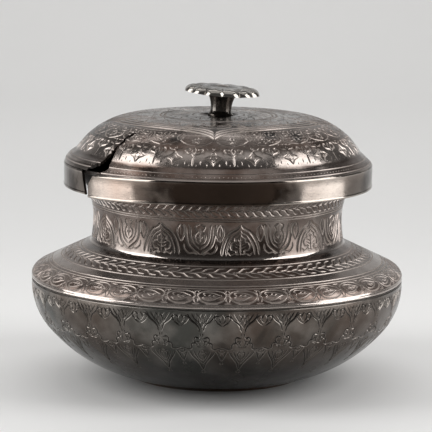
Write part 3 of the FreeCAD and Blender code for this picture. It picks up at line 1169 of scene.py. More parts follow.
@dataclass(frozen=True)
class MetalFinish:
    """An old worked metal: cloudy, stained, rubbed bright on its ridges, scratched and dented, with painted
    shade towards the floor and in patches where set.

    Its colours are those of the plain metal, of its warm clouds, of its dirt and painted shade, of its
    rubbed places and of what fills its cuts. Roughness is given for the plain metal, the rubbed places and,
    on top, the cuts.
    A constant of two numbers is the span that a cloud or a mark is spread over, or a relief's depth and
    strength. One of three or four numbers is the range of a mark and what it becomes.
    """

    WARM_CLOUDS = Cloud(16, 4, 0.38, 0.66, 0.6)
    MOTTLE = Cloud(75, 6, 0.36, 0.72)
    STAINS = Cloud(34, 7, 0.52, 0.72, 0.9)
    RAGGED = Cloud(60, 6, 0.3, 0.7)
    HAZE = Cloud(48, 5, 0.3, 0.75)
    DENTS = Cloud(55, 1.5)
    SCRATCHES = Cloud(1, 4, 0.35, 0.7)
    PITS = Cloud(900, 2, 0.62, 0.78)
    MOTTLE_SPAN = (0.0, 0.24)
    RAGGED_SPAN = (-0.35, 0.35)
    HAZE_SPAN = (-0.06, 0.1)
    LOW_SHADE_HEIGHT = 0.052
    POLISH_SHARE = 0.85
    SHADED_AND_TARNISHED = (0.25, 0.85, 0.0, 0.92)
    DARKENING_GLOSS = (0.8, 1.4, 0.0, 0.5)
    LIP = (0.02, 0.2)
    CUT_GLOSS = (0.0, 0.9, -0.06)
    SCRATCH_STRETCH = (260, 260, 2600)
    SCRATCHED = (0.00002, 0.35)
    PITTED = (-0.00005, 0.5)
    SPECULAR = 0.3

    name: str
    slot: Slot
    plain: Colour
    warm: Colour
    dark: Colour
    bright: Colour
    roughness: float
    bright_roughness: float
    filling: Colour = (0.011, 0.01, 0.009)
    cut_roughness: float = 0.14
    stain: float = 0.55
    cut_share: float = 0.9
    lip_share: float = 0.8
    dirt_start: float = 0.45
    # How dark the painted shade towards the floor is.
    painted_low_shade: float = 0.0
    metal: float = 0.7
    dent: float = 0.00035

    def colour(self, bench: NodeBench) -> None:
        """Mixes the colour from clouds of warm metal, stains, painted shade towards the floor, patches of
        tarnish and painted shade, rubbed places and filled cuts.

        Args:
            bench: Where the nodes are added.
        """
        colour = bench.blend(bench.clouds(self.WARM_CLOUDS), self.plain, self.warm)
        colour = bench.blend(bench.clouds(self.MOTTLE, *self.MOTTLE_SPAN), colour, self.bright)
        colour = bench.blend(bench.clouds(self.STAINS, 0.0, self.stain), colour, self.dark)
        # Painted shade: darker towards the floor, standing in for the dark reflection under the bowl.
        low_shade_mask = bench.spread(bench.height(), 0.0, self.LOW_SHADE_HEIGHT, self.painted_low_shade, 0.0)
        colour = bench.blend(low_shade_mask, colour, self.dark)
        rubbed = bench.share(bench.mark(Mark.POLISH), self.POLISH_SHARE)
        colour = bench.blend(rubbed, colour, self.bright)
        # Darkened patches: tarnish, and painted shade where a patch stands in for shade or a dark
        # reflection.
        tarnish = bench.added(bench.mark(Mark.TARNISH), bench.clouds(self.RAGGED, *self.RAGGED_SPAN))
        tarnish = bench.spread(tarnish, *self.SHADED_AND_TARNISHED)
        colour = bench.blend(tarnish, colour, self.dark)
        cut = bench.mark(Mark.CUT)
        colour = bench.blend(bench.share(bench.spread(cut, *self.LIP), self.lip_share), colour, self.bright)
        filled = bench.share(bench.spread(cut, self.dirt_start, 1.0), self.cut_share)
        bench.link(bench.blend(filled, colour, self.filling), "Base Color")

    def gloss(self, bench: NodeBench) -> None:
        """Makes rubbed places glossy, and cuts, darkened patches and cloudy places dull.

        Args:
            bench: Where the nodes are added.
        """
        haze = bench.clouds(self.HAZE, *[self.roughness + change for change in self.HAZE_SPAN])
        rubbed = bench.share(bench.mark(Mark.POLISH), self.bright_roughness - self.roughness)
        cuts = bench.spread(bench.mark(Mark.CUT), *self.CUT_GLOSS, self.cut_roughness)
        dulled_where_darkened = bench.spread(bench.mark(Mark.TARNISH), *self.DARKENING_GLOSS)
        worn = bench.added(bench.added(haze, rubbed), bench.added(cuts, dulled_where_darkened))
        bench.link(worn, "Roughness")

    def relief(self, bench: NodeBench) -> None:
        """Adds hammer dents, turning scratches and pits.

        Args:
            bench: Where the nodes are added.
        """
        dents = bench.bump(bench.noise(self.DENTS), self.dent)
        lines = bench.clouds(self.SCRATCHES, place=bench.stretched(self.SCRATCH_STRETCH))
        scratched = bench.bump(lines, *self.SCRATCHED, dents)
        pitted = bench.bump(bench.clouds(self.PITS), *self.PITTED, scratched)
        bench.link(pitted, "Normal")

    def material(self) -> bpy.types.Material:
        """Makes the material.

        Returns:
            The material, ready for a piece's slot.
        """
        bench = NodeBench(self.name)
        bench.shader.inputs["Metallic"].default_value = self.metal
        bench.shader.inputs["Specular IOR Level"].default_value = self.SPECULAR
        self.colour(bench)
        self.gloss(bench)
        self.relief(bench)
        return bench.material


class Finishes:
    """The finishes of the vessel, each made once."""

    TINNED = MetalFinish(
        "worn_tinned_copper", Slot.TINNED_COPPER, plain=(0.092, 0.074, 0.065), warm=(0.103, 0.07, 0.056),
        dark=(0.011, 0.009, 0.008), bright=(0.50, 0.445, 0.41), roughness=0.27, bright_roughness=0.15,
        filling=(0.37, 0.325, 0.29), cut_roughness=0.4, lip_share=0.5, metal=0.93)
    DULL = replace(
        TINNED, name="dull_tinned_copper", plain=(0.135, 0.11, 0.097), warm=(0.147, 0.101, 0.082),
        dark=(0.014, 0.011, 0.01), roughness=0.31, stain=0.4, metal=0.78)
    # The bowl's finish: grime deep in its cuts, and painted shade towards the floor.
    GRIMY_LOW_SHADED = MetalFinish(
        "grimy_low_shaded_tinned_copper", Slot.TINNED_COPPER, plain=(0.068, 0.068, 0.062), warm=(0.09, 0.069, 0.057),
        dark=(0.011, 0.01, 0.009), bright=(0.46, 0.42, 0.385), roughness=0.27, bright_roughness=0.17,
        lip_share=0.3, dirt_start=0.12, painted_low_shade=0.75, metal=0.93)
    BAND = MetalFinish(
        "rubbed_copper", Slot.BARE_COPPER, plain=(0.17, 0.144, 0.126), warm=(0.165, 0.11, 0.082),
        dark=(0.03, 0.018, 0.012), bright=(0.37, 0.33, 0.295), roughness=0.2, bright_roughness=0.13,
        stain=0.5, dent=0.0003, metal=0.95)
    KNOB = MetalFinish(
        "dark_bronze", Slot.DARK_BRONZE, plain=(0.075, 0.069, 0.063), warm=(0.085, 0.066, 0.053),
        dark=(0.012, 0.011, 0.01), bright=(0.36, 0.335, 0.305), roughness=0.22, bright_roughness=0.14,
        dent=0.0002, metal=0.95)
    RAW = MetalFinish(
        "torn_edge", Slot.TINNED_COPPER, plain=(0.012, 0.01, 0.009), warm=(0.03, 0.02, 0.015),
        dark=(0.006, 0.005, 0.005), bright=(0.04, 0.03, 0.025), roughness=0.6, bright_roughness=0.55)

    def __init__(self) -> None:
        """Makes the materials."""
        finishes = (self.TINNED, self.DULL, self.GRIMY_LOW_SHADED, self.BAND, self.KNOB, self.RAW)
        self.made = {finish: finish.material() for finish in finishes}

    def settle(self, piece: bpy.types.Object, finish: MetalFinish, body: Body, *nodes: str) -> None:
        """Dresses a finished piece, ties it to its body and lets it stand for its nodes.

        Args:
            piece: The piece.
            finish: Its finish.
            body: The body that carries it.
            nodes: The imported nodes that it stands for.
        """
        piece.data.materials.clear()
        piece.data.materials.append(self.made[finish])
        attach(piece, body.value)
        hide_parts(*nodes)
        piece.data.calc_loop_triangles()
        LOG.info("%s: %d triangles on %s", piece.name, len(piece.data.loop_triangles), body.value)


@dataclass(frozen=True)
class NodeSpan:
    """Outer radius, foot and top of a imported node, in millimetres."""

    radius: float
    foot: float
    top: float

    @classmethod
    def of(cls, node: str) -> "NodeSpan":
        """Measures a node of the frame."""
        low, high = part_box(node)
        return cls(high[0] / MM, low[2] / MM, high[2] / MM)


def waist_bend(waist: Place, other: Place) -> float:
    """Gives the radius of the arc that is upright at a waist and passes through another place."""
    out, up = other[0] - waist[0], other[1] - waist[1]
    return (out**2 + up**2) / (2 * out)


class Ornament:
    """Engraved motifs that more than one piece carries."""

    LINK = ((-0.50, 0.03), (-0.08, 0.05), (0.18, 0.13), (0.40, 0.31), (0.62, 0.39), (1.08, 0.41))

    @staticmethod
    def plait(pen: Pen) -> None:
        """Draws one link of a plaited band: two rows of slanting leaves that meet in the middle.

        Args:
            pen: The pen of one repeat.
        """
        for up in (1, -1):
            start = 0.25 - 0.25 * up
            pen.curve(*[(start + x, 0.5 + up * y) for x, y in Ornament.LINK], cut=Cut.BOLD)


def beyond(start: Place, through: Place, distance: float) -> Place:
    """Gives the place at a distance from a start, in the direction of another place."""
    share = distance / math.dist(start, through)
    return tuple(a + (b - a) * share for a, b in zip(start, through))


@dataclass
class FootRing:
    """The low ring that the vessel stands on."""

    span: NodeSpan
    finishes: Finishes
    width: float = 3.0
    worn_edge: float = 0.45
    smooth_angle: float = 50.0
    steps: int = 240

    def build(self) -> None:
        """Turns the ring, with its edges worn round, and dresses it."""
        outer, inner = self.span.radius, self.span.radius - self.width
        foot, edge = self.span.foot, self.worn_edge
        section = [(inner, self.span.top), (inner, foot + edge), (inner + edge, foot), (outer - edge, foot),
                   (outer, foot + edge), (outer, self.span.top)]
        ring = Shop.joined("foot_hoop", [Shop.spun("foot_hoop", [section], self.steps, closed=True)])
        Shop.smoothed(ring, self.smooth_angle)
        self.finishes.settle(ring, Finishes.BAND, Body.VESSEL, "foot_ring")


@dataclass
class Bowl:
    """The wide bowl, with an engraved arcade round its upper half."""

    span: NodeSpan
    finishes: Finishes
    wall: float = 1.3
    base_radius: float = 49.5
    upright: float = 2.6
    high_arc: float = 38.2
    low_arc: float = 85.3
    steps: int = 464
    turn: float = -10.6
    arches: int = 29
    arcade_height: float = 46.0
    top_margin: float = 1.2

    def outline(self) -> Outline:
        """Draws the bowl's side from the middle of its base to its seam.

        Returns:
            The outline.
        """
        widest = self.span.top - self.upright
        base = (self.base_radius, self.span.foot)
        high_centre = (self.span.radius - self.high_arc, widest)
        low_centre = rising_meeting(high_centre, self.low_arc - self.high_arc, base, self.low_arc)
        meeting = beyond(low_centre, high_centre, self.low_arc)
        side = Outline(0.0, self.span.foot).line(*base).arc(*meeting, self.low_arc)
        side.arc(self.span.radius, widest, self.high_arc)
        return side.line(self.span.radius, self.span.top).finish()

    @staticmethod
    def arcade(pen: Pen) -> None:
        """Draws one arch: a fan on a stem, a trefoil in a stepped frame, and a pointed pendant.

        Args:
            pen: The pen of one repeat.
        """
        pen.curve((0.15, 0.985), (0.26, 0.90), (0.40, 0.84), (0.47, 0.745), cut=Cut.BOLD, mirrored=True)
        pen.curve((0.26, 0.985), (0.35, 0.915), (0.44, 0.87), (0.5, 0.80), mirrored=True)
        pen.leaf((0.5, 0.825), (0.5, 0.98), 0.22, cut=Cut.LINE)
        pen.leaf((0.455, 0.85), (0.375, 0.98), 0.22, mirrored=True)
        pen.curl((0.11, 0.925), 2.1, 400, 250, mirrored=True)
        pen.leaf((0.0, 0.86), (0.0, 0.975), 0.3, cut=Cut.LINE)
        pen.curve((0.18, 0.89), (0.10, 0.86), (0.0, 0.825), mirrored=True)
        pen.line((0.47, 0.745), (0.47, 0.675), cut=Cut.BOLD, mirrored=True)
        pen.curve((0.47, 0.68), (0.43, 0.672), (0.36, 0.682), (0.315, 0.65), (0.325, 0.60), (0.28, 0.598),
                  (0.24, 0.565), (0.25, 0.525), (0.18, 0.505), (0.09, 0.52), (0.0, 0.53), cut=Cut.BOLD,
                  mirrored=True)
        pen.leaf((0.5, 0.545), (0.5, 0.66), 0.3, cut=Cut.LINE)
        pen.curl((0.415, 0.605), 1.8, -330, 300, mirrored=True)
        pen.curve((0.5, 0.545), (0.42, 0.548), (0.34, 0.565), mirrored=True)
        pen.curve((0.18, 0.48), (0.24, 0.40), (0.34, 0.315), (0.43, 0.23), (0.5, 0.10), cut=Cut.BOLD,
                  mirrored=True)
        pen.curve((0.29, 0.485), (0.33, 0.41), (0.41, 0.325), (0.5, 0.235), mirrored=True)
        pen.leaf((0.5, 0.50), (0.5, 0.30), 0.22, cut=Cut.LINE, rib=True)
        pen.curve((0.5, 0.42), (0.45, 0.46), (0.37, 0.465), mirrored=True)
        pen.leaf((0.5, 0.10), (0.5, 0.02), 0.3, cut=Cut.LINE)
        pen.curl((0.0, 0.48), 1.4, 360, 0, end_radius=1.4, pointed=False)
        pen.leaf((0.0, 0.44), (0.0, 0.32), 0.26, cut=Cut.LINE)
        pen.curve((0.18, 0.48), (0.12, 0.455), (0.07, 0.39), (0.0, 0.285), mirrored=True)
        pen.leaf((0.0, 0.275), (0.0, 0.215), 0.3)

    def build(self) -> None:
        """Raises the bowl, engraves it and dresses it."""
        side = self.outline()
        top = side.length - self.top_margin
        corner = side.where(radius=self.base_radius - JUST_INSIDE)
        inner = side.inside(self.wall, corner + self.wall) + [(0.0, self.span.foot + self.wall)]
        shell = Shell("bowl_wall", side, inner, self.steps, self.turn)
        shell.friezes = [Frieze(top - self.arcade_height, top, self.arches, self.arcade)]
        shell.grooves = [Groove(side.length - self.top_margin / 2)]
        self.finishes.settle(shell.build(), Finishes.GRIMY_LOW_SHADED, Body.VESSEL, "bowl")


@dataclass
class Shoulder:
    """The sloping shoulder, with a vine by its rounded ridge and a plait by the neck."""

    span: NodeSpan
    finishes: Finishes
    wall: float = 1.3
    bore: float = 70.2
    ridge_arc: float = 6.0
    bead_inset: float = 0.8
    bead_height: float = 1.9
    bead_arc: float = 1.1
    bead_step: float = 0.15
    slope: float = 25.4
    steps: int = 456
    turn: float = -6.1
    leaves: int = 38
    inner_start: float = 4.4
    vine: Place = (3.6, 14.4)
    plait: Place = (25.1, 35.3)
    rings: tuple[float, ...] = (15.6, 17.8, 23.9, 36.4)
    shine_gap: float = 0.2
    plain_shine: float = 0.35

    OVAL = ((0.04, 0.0), (0.12, 0.27), (0.30, 0.42), (0.5, 0.45), (0.70, 0.42), (0.88, 0.27), (0.96, 0.0))
    HEART = ((0.30, 0.0), (0.22, 0.14), (0.28, 0.27), (0.42, 0.29), (0.58, 0.22), (0.70, 0.10), (0.84, 0.0))

    def outline(self) -> Outline:
        """Draws the shoulder's side from the seam over the ridge up to the neck.

        Returns:
            The outline.
        """
        tilt = math.radians(self.slope)
        run = self.span.radius - self.ridge_arc * (1 - math.sin(tilt))
        rise = (self.span.top - self.ridge_arc * math.cos(tilt)) - (run - self.bore) * math.tan(tilt)
        side = Outline(self.span.radius - self.bead_inset, self.span.foot)
        valley = self.span.foot + self.bead_height
        side.arc(self.span.radius - self.bead_inset / 2, valley, self.bead_arc)
        lift = valley + self.bead_step
        start = self.ridge_arc * (1 - math.sqrt(1 - ((lift - rise) / self.ridge_arc) ** 2))
        side.line(self.span.radius - start, lift)
        side.arc(run, rise + self.ridge_arc * math.cos(tilt), self.ridge_arc)
        return side.line(self.bore, self.span.top).finish()

    @staticmethod
    def vine_leaf(pen: Pen) -> None:
        """Draws one oval of the vine with a heart-shaped leaf in it, and small leaves beside it.

        Args:
            pen: The pen of one repeat.
        """
        for up in (1, -1):
            pen.curve(*[(x, 0.5 + up * y) for x, y in Shoulder.OVAL], pointed=False)
            pen.curve(*[(x, 0.5 + up * y) for x, y in Shoulder.HEART])
            pen.curve((0.38, 0.5), (0.44, 0.5 + up * 0.10), (0.54, 0.5 + up * 0.15), cut=Cut.FINE)
            pen.curve((0.52, 0.5), (0.58, 0.5 + up * 0.07), (0.65, 0.5 + up * 0.09), cut=Cut.FINE)
            pen.leaf((0.0, 0.5 + up * 0.12), (0.0, 0.5 + up * 0.46), 0.3)
            pen.line((0.86, 0.5 + up * 0.46), (1.14, 0.5 + up * 0.46), cut=Cut.FINE)
        pen.line((0.30, 0.5), (0.72, 0.5), cut=Cut.FINE)
        pen.line((-0.06, 0.5), (0.06, 0.5), cut=Cut.FINE)

    def build(self) -> None:
        """Turns the shoulder, engraves it and dresses it."""
        side = self.outline()
        foot = self.span.foot
        inner = side.inside(self.wall, self.inner_start)
        inner += [(self.span.radius - self.wall, foot), (self.span.radius - self.bead_inset, foot)]
        shell = Shell("shoulder_slope", side, inner, self.steps, self.turn, row=0.6)
        shell.friezes = [Frieze(*self.vine, self.leaves, self.vine_leaf),
                         Frieze(*self.plait, 2 * self.leaves, Ornament.plait)]
        shell.grooves = [Groove(place) for place in self.rings]
        shell.shines = [Shine(BEFORE, self.vine[0] - self.shine_gap, 1.0),
                        Shine(self.rings[1], self.rings[2], self.plain_shine)]
        self.finishes.settle(shell.build(), Finishes.DULL, Body.VESSEL, "shoulder")


@dataclass
class Neck:
    """The waisted neck, with a plait under its mouth, leaves in arches below it and a moulded foot."""

    span: NodeSpan
    finishes: Finishes
    wall: float = 1.3
    waist_radius: float = 70.7
    waist_height: float = 92.143
    low_radius: float = 71.5
    low_height: float = 81.143
    foot_radius: float = 75.6
    foot_height: float = 76.443
    foot_arc: float = 4.6
    lip_height: float = 1.6
    lip_land: float = 2.4
    steps: int = 480
    turn: float = -16.6
    arches: int = 10
    links: int = 96
    gap_shade_angle: float = 295.0
    gap_shade_reach: float = 24.0
    gap_shade_drop: float = 5.0
    gap_shade_amount: float = 2.4
    inner_points: int = 18
    ring_gap: float = 0.8
    arch_heights: Place = (79.4, 98.6)
    plait_heights: Place = (101.4, 108.8)

    def outline(self) -> Outline:
        """Draws the neck's outer side from its seat on the shoulder to its mouth.

        Returns:
            The outline.
        """
        waist, low = (self.waist_radius, self.waist_height), (self.low_radius, self.low_height)
        mouth, top = (self.span.radius, self.span.top - self.lip_height), self.span.top
        seat = NodeSpan.of("shoulder").top
        side = Outline(self.low_radius - self.wall, seat).line(self.foot_radius, self.foot_height)
        side.arc(*low, -self.foot_arc)
        side.arc(*waist, -waist_bend(waist, low)).arc(*mouth, -waist_bend(waist, mouth))
        return side.line(mouth[0], top).line(mouth[0] - self.lip_land, top).finish()

    def inner(self) -> list[Place]:
        """Draws the neck's inner side from its mouth down to its seat.

        Returns:
            Pairs of radius and height.
        """
        land, waist = self.span.radius - self.lip_land, (self.waist_radius - self.wall, self.waist_height)
        low = (self.low_radius - self.wall, self.low_height)
        side = Outline(land, self.span.top).arc(*waist, waist_bend(waist, (land, self.span.top)))
        side.arc(*low, waist_bend(waist, low)).line(low[0], NodeSpan.of("shoulder").top).finish()
        return [tuple(place) for place in side.at(np.linspace(0, side.length, self.inner_points))]

    @staticmethod
    def arch_pair(pen: Pen) -> None:
        """Draws a pair of arches: a tulip that hangs between them and a lobed leaf inside one.

        Args:
            pen: The pen of one repeat.
        """
        leaf = partial(pen.twins, 0.75)
        leaf((0.235, 0.05), (0.225, 0.26), (0.19, 0.50), (0.125, 0.72), (0.05, 0.82), (0, 0.95),
             cut=Cut.BROAD)
        leaf((0.18, 0.05), (0.17, 0.25), (0.14, 0.45), (0.09, 0.62), (0.03, 0.71), (0, 0.80),
             cut=Cut.BOLD)
        leaf((0, 0.12), (0.03, 0.10), (0.055, 0.16), (0.04, 0.22), (0.095, 0.21), (0.122, 0.32),
             (0.10, 0.43), (0.06, 0.45), (0.068, 0.54), (0.03, 0.60), (0, 0.69), cut=Cut.BOLD)
        for up, out, rise in ((0.24, 0.075, 0.10), (0.34, 0.075, 0.08), (0.44, 0.035, 0.10)):
            leaf((0, up), (out, up + rise))
        leaf((0.02, 0.06), (0.07, 0.12), (0.12, 0.08), (0.155, 0.18), cut=Cut.BOLD)
        pen.line((0.75, 0.06), (0.75, 0.60))
        tulip = partial(pen.twins, 0.25)
        tulip((0.205, 0.96), (0.18, 0.82), (0.172, 0.58), (0.14, 0.34), (0.07, 0.19), (0, 0.08),
              cut=Cut.BROAD)
        tulip((0.145, 0.96), (0.122, 0.80), (0.115, 0.58), (0.085, 0.40), (0.035, 0.29), (0, 0.22),
              cut=Cut.BOLD)
        tulip((0, 0.36), (0.05, 0.45), (0.066, 0.62), (0.03, 0.74), (0.062, 0.87), (0, 0.96),
              cut=Cut.BOLD)
        tulip((0, 0.50), (0.035, 0.62))
        tulip((0.03, 0.06), (0.08, 0.13), (0.14, 0.12), (0.195, 0.24), (0.20, 0.40), cut=Cut.BOLD)
        pen.line((0.25, 0.42), (0.25, 0.88))
        for middle in (0.495, 0.005):
            pen.leaf((middle, 0.96), (middle, 0.42), 0.2, cut=Cut.BOLD, rib=True)

    def build(self) -> None:
        """Turns the neck, engraves it and dresses it."""
        side = self.outline()
        shell = Shell("neck_wall", side, self.inner(), self.steps, self.turn, row=0.7)
        # Painted shade on the neck behind the lid band's open seam, where the hollow under the lid is dark.
        shell.patches = [Patch(self.gap_shade_angle, self.span.radius, self.span.top - self.gap_shade_drop,
                               self.gap_shade_reach, self.gap_shade_amount)]
        arches = [side.where(height=height) for height in self.arch_heights]
        plait = [side.where(height=height) for height in self.plait_heights]
        shell.friezes = [Frieze(*arches, self.arches, self.arch_pair),
                         Frieze(*plait, self.links, Ornament.plait)]
        rings = (arches[1] + self.ring_gap, plait[0] - self.ring_gap, plait[1] + self.ring_gap)
        shell.grooves = [Groove(place) for place in rings]
        shell.shines = [Shine(side.where(radius=self.foot_radius - JUST_INSIDE), arches[0], 1.0)]
        self.finishes.settle(shell.build(), Finishes.TINNED, Body.VESSEL, "neck")


@dataclass
class LidCover:
    """The lid's sheet: a sloping brim, a rounded dome and a flat crown, cracked through on the left."""

    span: NodeSpan
    finishes: Finishes
    wall: float = 1.3
    brim_width: float = 6.4
    brim_rise: float = 6.1
    brim_cut: float = 1.884
    dome_arc: float = 40.0
    crown_arc: float = 1500.0
    steps: int = 440
    turn: float = -1.9
    cells: int = 22
    dots: int = 220
    dot_row: Place = (2.2, 4.0)
    slope_margin: float = 0.8
    slope_height: float = 13.6
    medallion_bore: float = 13.0
    crack_angle: float = 310.0
    crack_spread: float = 4.0
    sprung: float = 2.0
    sprung_reach: float = 95.0
    sag: float = 1.3
    sag_reach: float = 45.0
    lip_clearance: float = 0.35
    cutter_margin: float = 4.0
    jag: float = 0.22
    medallion_strength: float = 2.6
    punch_spacing: float = 2.4
    dish_radius: float = 9.6
    dish_depth: float = 0.95
    dish_edge: float = 2.0
    dish_bend: float = 4.0
    inner_start: float = 2.5
    rings: Place = (1.5, 5.2)
    edge_shine: Shine = Shine(BEFORE, 0.7, 0.7)
    dome_shine: float = 0.6
    dome_shine_height: float = 9.0

    CRACK_LEFT = ((0.742, 1.24), (0.774, 0.98), (0.801, 0.42), (0.820, 0.78), (0.842, 0.60), (0.862, 0.42),
                  (0.887, 0.20), (0.905, 0.06), (0.924, -0.10), (0.957, -0.24), (0.972, -0.72),
                  (0.996, -1.40), (1.030, -1.80))
    CRACK_RIGHT = ((1.030, -0.12), (0.996, -0.08), (0.987, 0.17), (0.976, 0.88), (0.960, 1.08),
                   (0.942, 0.96), (0.917, 0.82), (0.887, 0.84), (0.862, 0.60), (0.842, 0.84),
                   (0.824, 1.12), (0.805, 0.86), (0.780, 1.36), (0.748, 1.52))
    JAG_SHARES = (0.38, 0.7)
    SAG_SHAPE = ((82.6, 0.0), (84.6, 0.5), (87.2, 1.0))
    SPRUNG_SHAPE = ((72.0, 0.0), (78.0, 0.12), (81.0, 0.45), (84.5, 1.0), (86.5, 0.75), (87.2, 0.25))
    BORDER = ((0, 66.5), (3.2, 63.4), (8, 60.8), (14, 59.2), (24, 58.0), (45, 57.2))
    BORDER_INSETS = (0.0, 2.7, 5.4)
    TIP_CLEAR = 12
    LEAF_CLEAR = 9
    CIRCLES = ((33.0, Cut.BROAD), (30.6, Cut.BROAD), (14.6, Cut.BOLD))
    SCALLOP = ((0, 34), (7, 37), (15, 38), (23, 37), (30, 34))
    SCROLLS = (((0, 39.5), (6, 42), (10, 47), (5, 51.5), (0, 53)),
               ((9, 41), (17, 43.5), (20.5, 49), (14, 52.5)),
               ((12, 39.5), (24, 41), (30, 46), (26, 52.5)))
    # Darkened places on the sheet; the last is painted dark reflection over the whole crown round the knob.
    STAINS_AND_SHADE = (Patch(27, 65, 143.5, 9, 0.9), Patch(38, 66, 143, 8, 0.8), Patch(-21, 67, 142, 6, 0.6),
               Patch(-38, 62, 144.5, 7, 0.5), Patch(8, 72, 139, 7, 0.5), Patch(150, 66, 143, 10, 0.7),
               Patch(230, 70, 141, 8, 0.6), Patch(284, 72, 140, 17, 0.75), Patch(264, 72, 140, 17, 0.75),
               Patch(302, 64, 145, 10, 0.6), Patch(0, 0, 152, 66, 1.0))

    def __post_init__(self) -> None:
        """Draws the outer side with the dish in its middle and without it, and places the friezes."""
        low = self.span.top - self.dish_depth
        side = self.dome().arc(self.dish_radius + self.dish_edge, self.span.top, self.crown_arc)
        self.side = side.arc(self.dish_radius, low, -self.dish_bend).line(0.0, low).finish()
        self.bare = self.dome().arc(0.0, self.span.top, self.crown_arc).finish()
        self.slope_foot = float(self.side.lengths[self.side.corners[1]]) + self.slope_margin
        self.slope_top = self.slope_foot + self.slope_height
        self.medallion_top = self.side.where(radius=self.medallion_bore)

    def dome(self) -> Outline:
        """Draws the outer side from the edge of the brim to where the dome meets the crown.

        Returns:
            The outline, still open.
        """
        crown_centre = (0.0, self.span.top - self.crown_arc)
        brim = (self.span.radius - self.brim_width, self.span.foot + self.brim_rise)
        dome_centre = rising_meeting(crown_centre, self.crown_arc - self.dome_arc, brim, self.dome_arc)
        meeting = beyond(crown_centre, dome_centre, self.crown_arc)
        return Outline(self.span.radius, self.span.foot).line(*brim).arc(*meeting, self.dome_arc)

    @staticmethod
    def dot(pen: Pen) -> None:
        """Draws one punched dot of the row on the brim."""
        pen.line((0.32, 0.38), (0.68, 0.62), cut=Cut.FINE)

    @staticmethod
    def lozenge_and_lily(pen: Pen) -> None:
        """Draws a lozenge on a stem, half lilies on both sides of it and short strokes below.

        Args:
            pen: The pen of one repeat.
        """
        pen.curve((0.0, 0.76), (0.07, 0.54), (0.235, 0.41), cut=Cut.BOLD, mirrored=True)
        pen.curve((0.0, 0.06), (0.07, 0.28), (0.235, 0.41), cut=Cut.BOLD, mirrored=True)
        pen.line((0.0, 0.55), (0.085, 0.41), (0.0, 0.27), mirrored=True)
        pen.line((0.5, 0.03), (0.5, 0.50), cut=Cut.BOLD)
        pen.curve((0.5, 0.47), (0.43, 0.58), (0.345, 0.62), (0.275, 0.74), (0.32, 0.88), (0.39, 0.84),
                  (0.375, 0.75), cut=Cut.BOLD, mirrored=True)
        pen.curve((0.5, 0.60), (0.455, 0.70), (0.46, 0.80), (0.5, 0.93), mirrored=True)
        pen.line((0.31, 0.10), (0.31, 0.31), cut=Cut.FINE, mirrored=True)
        pen.line((0.15, 0.03), (0.15, 0.16), cut=Cut.FINE, mirrored=True)
        pen.line((0.41, 0.03), (0.41, 0.14), cut=Cut.FINE, mirrored=True)
        pen.curve((0.0, 0.76), (0.06, 0.81), (0.15, 0.83), (0.20, 0.94), mirrored=True)
        pen.leaf((0.0, 0.82), (0.0, 0.97), 0.3)

    def crown(self, pen: Pen) -> None:
        """Draws half of the crown: a row of flowers, a medallion with four tips, scrolls and a star.

        Args:
            pen: The pen of one repeat.
        """
        def to(angle: float, radius: float) -> Place:
            """Places an angle and a radius in the repeat."""
            return (angle / 180, (self.side.where(radius=radius) - self.slope_top) / pen.height)

        half = self.cells // 2
        pitch = 180 / half
        for i in range(half):
            middle = (i + 0.5) * pitch
            between = middle + pitch / 2
            inland = abs(math.remainder(middle, 90)) > self.TIP_CLEAR
            pen.petals(to(middle, 67.6), 2.9, 5)
            for hand in (1, -1):
                pen.curve(to(middle, 71.0), to(middle + hand * 3, 70.4), to(middle + hand * 5.6, 69.4),
                          to(middle + hand * 8, 67.4))
                if inland:
                    pen.curl(to(middle + hand * 4.2, 63.2), 2.3, -hand * 400, 90 - hand * 90)
            if inland:
                pen.leaf(to(middle, 64.8), to(middle, 60.0), 0.28, cut=Cut.LINE)
            if abs(math.remainder(between, 90)) > self.LEAF_CLEAR:
                pen.leaf(to(between, 68), to(between, 61.2), 0.26, cut=Cut.LINE, rib=True)
        for first in (0, 90):
            edge = [(first + angle, radius) for angle, radius in self.BORDER]
            edge += [(first + 90 - angle, radius) for angle, radius in self.BORDER[-2::-1]]
            for inset in self.BORDER_INSETS:
                pen.curve(*[to(angle, radius - inset) for angle, radius in edge], cut=Cut.BROAD)
            self.quarter(pen, to, first)
        for radius, cut in self.CIRCLES:
            pen.curve(*[to(angle, radius) for angle in range(-15, 196, 15)], cut=cut, pointed=False)
        for first in range(0, 180, 30):
            pen.leaf(to(first + 15, 16.5), to(first + 15, 29.4), 0.22, cut=Cut.LINE, rib=True)
            pen.leaf(to(first, 19.0), to(first, 29.4), 0.18, cut=Cut.LINE)
            pen.curve(*[to(first + angle, radius) for angle, radius in self.SCALLOP])

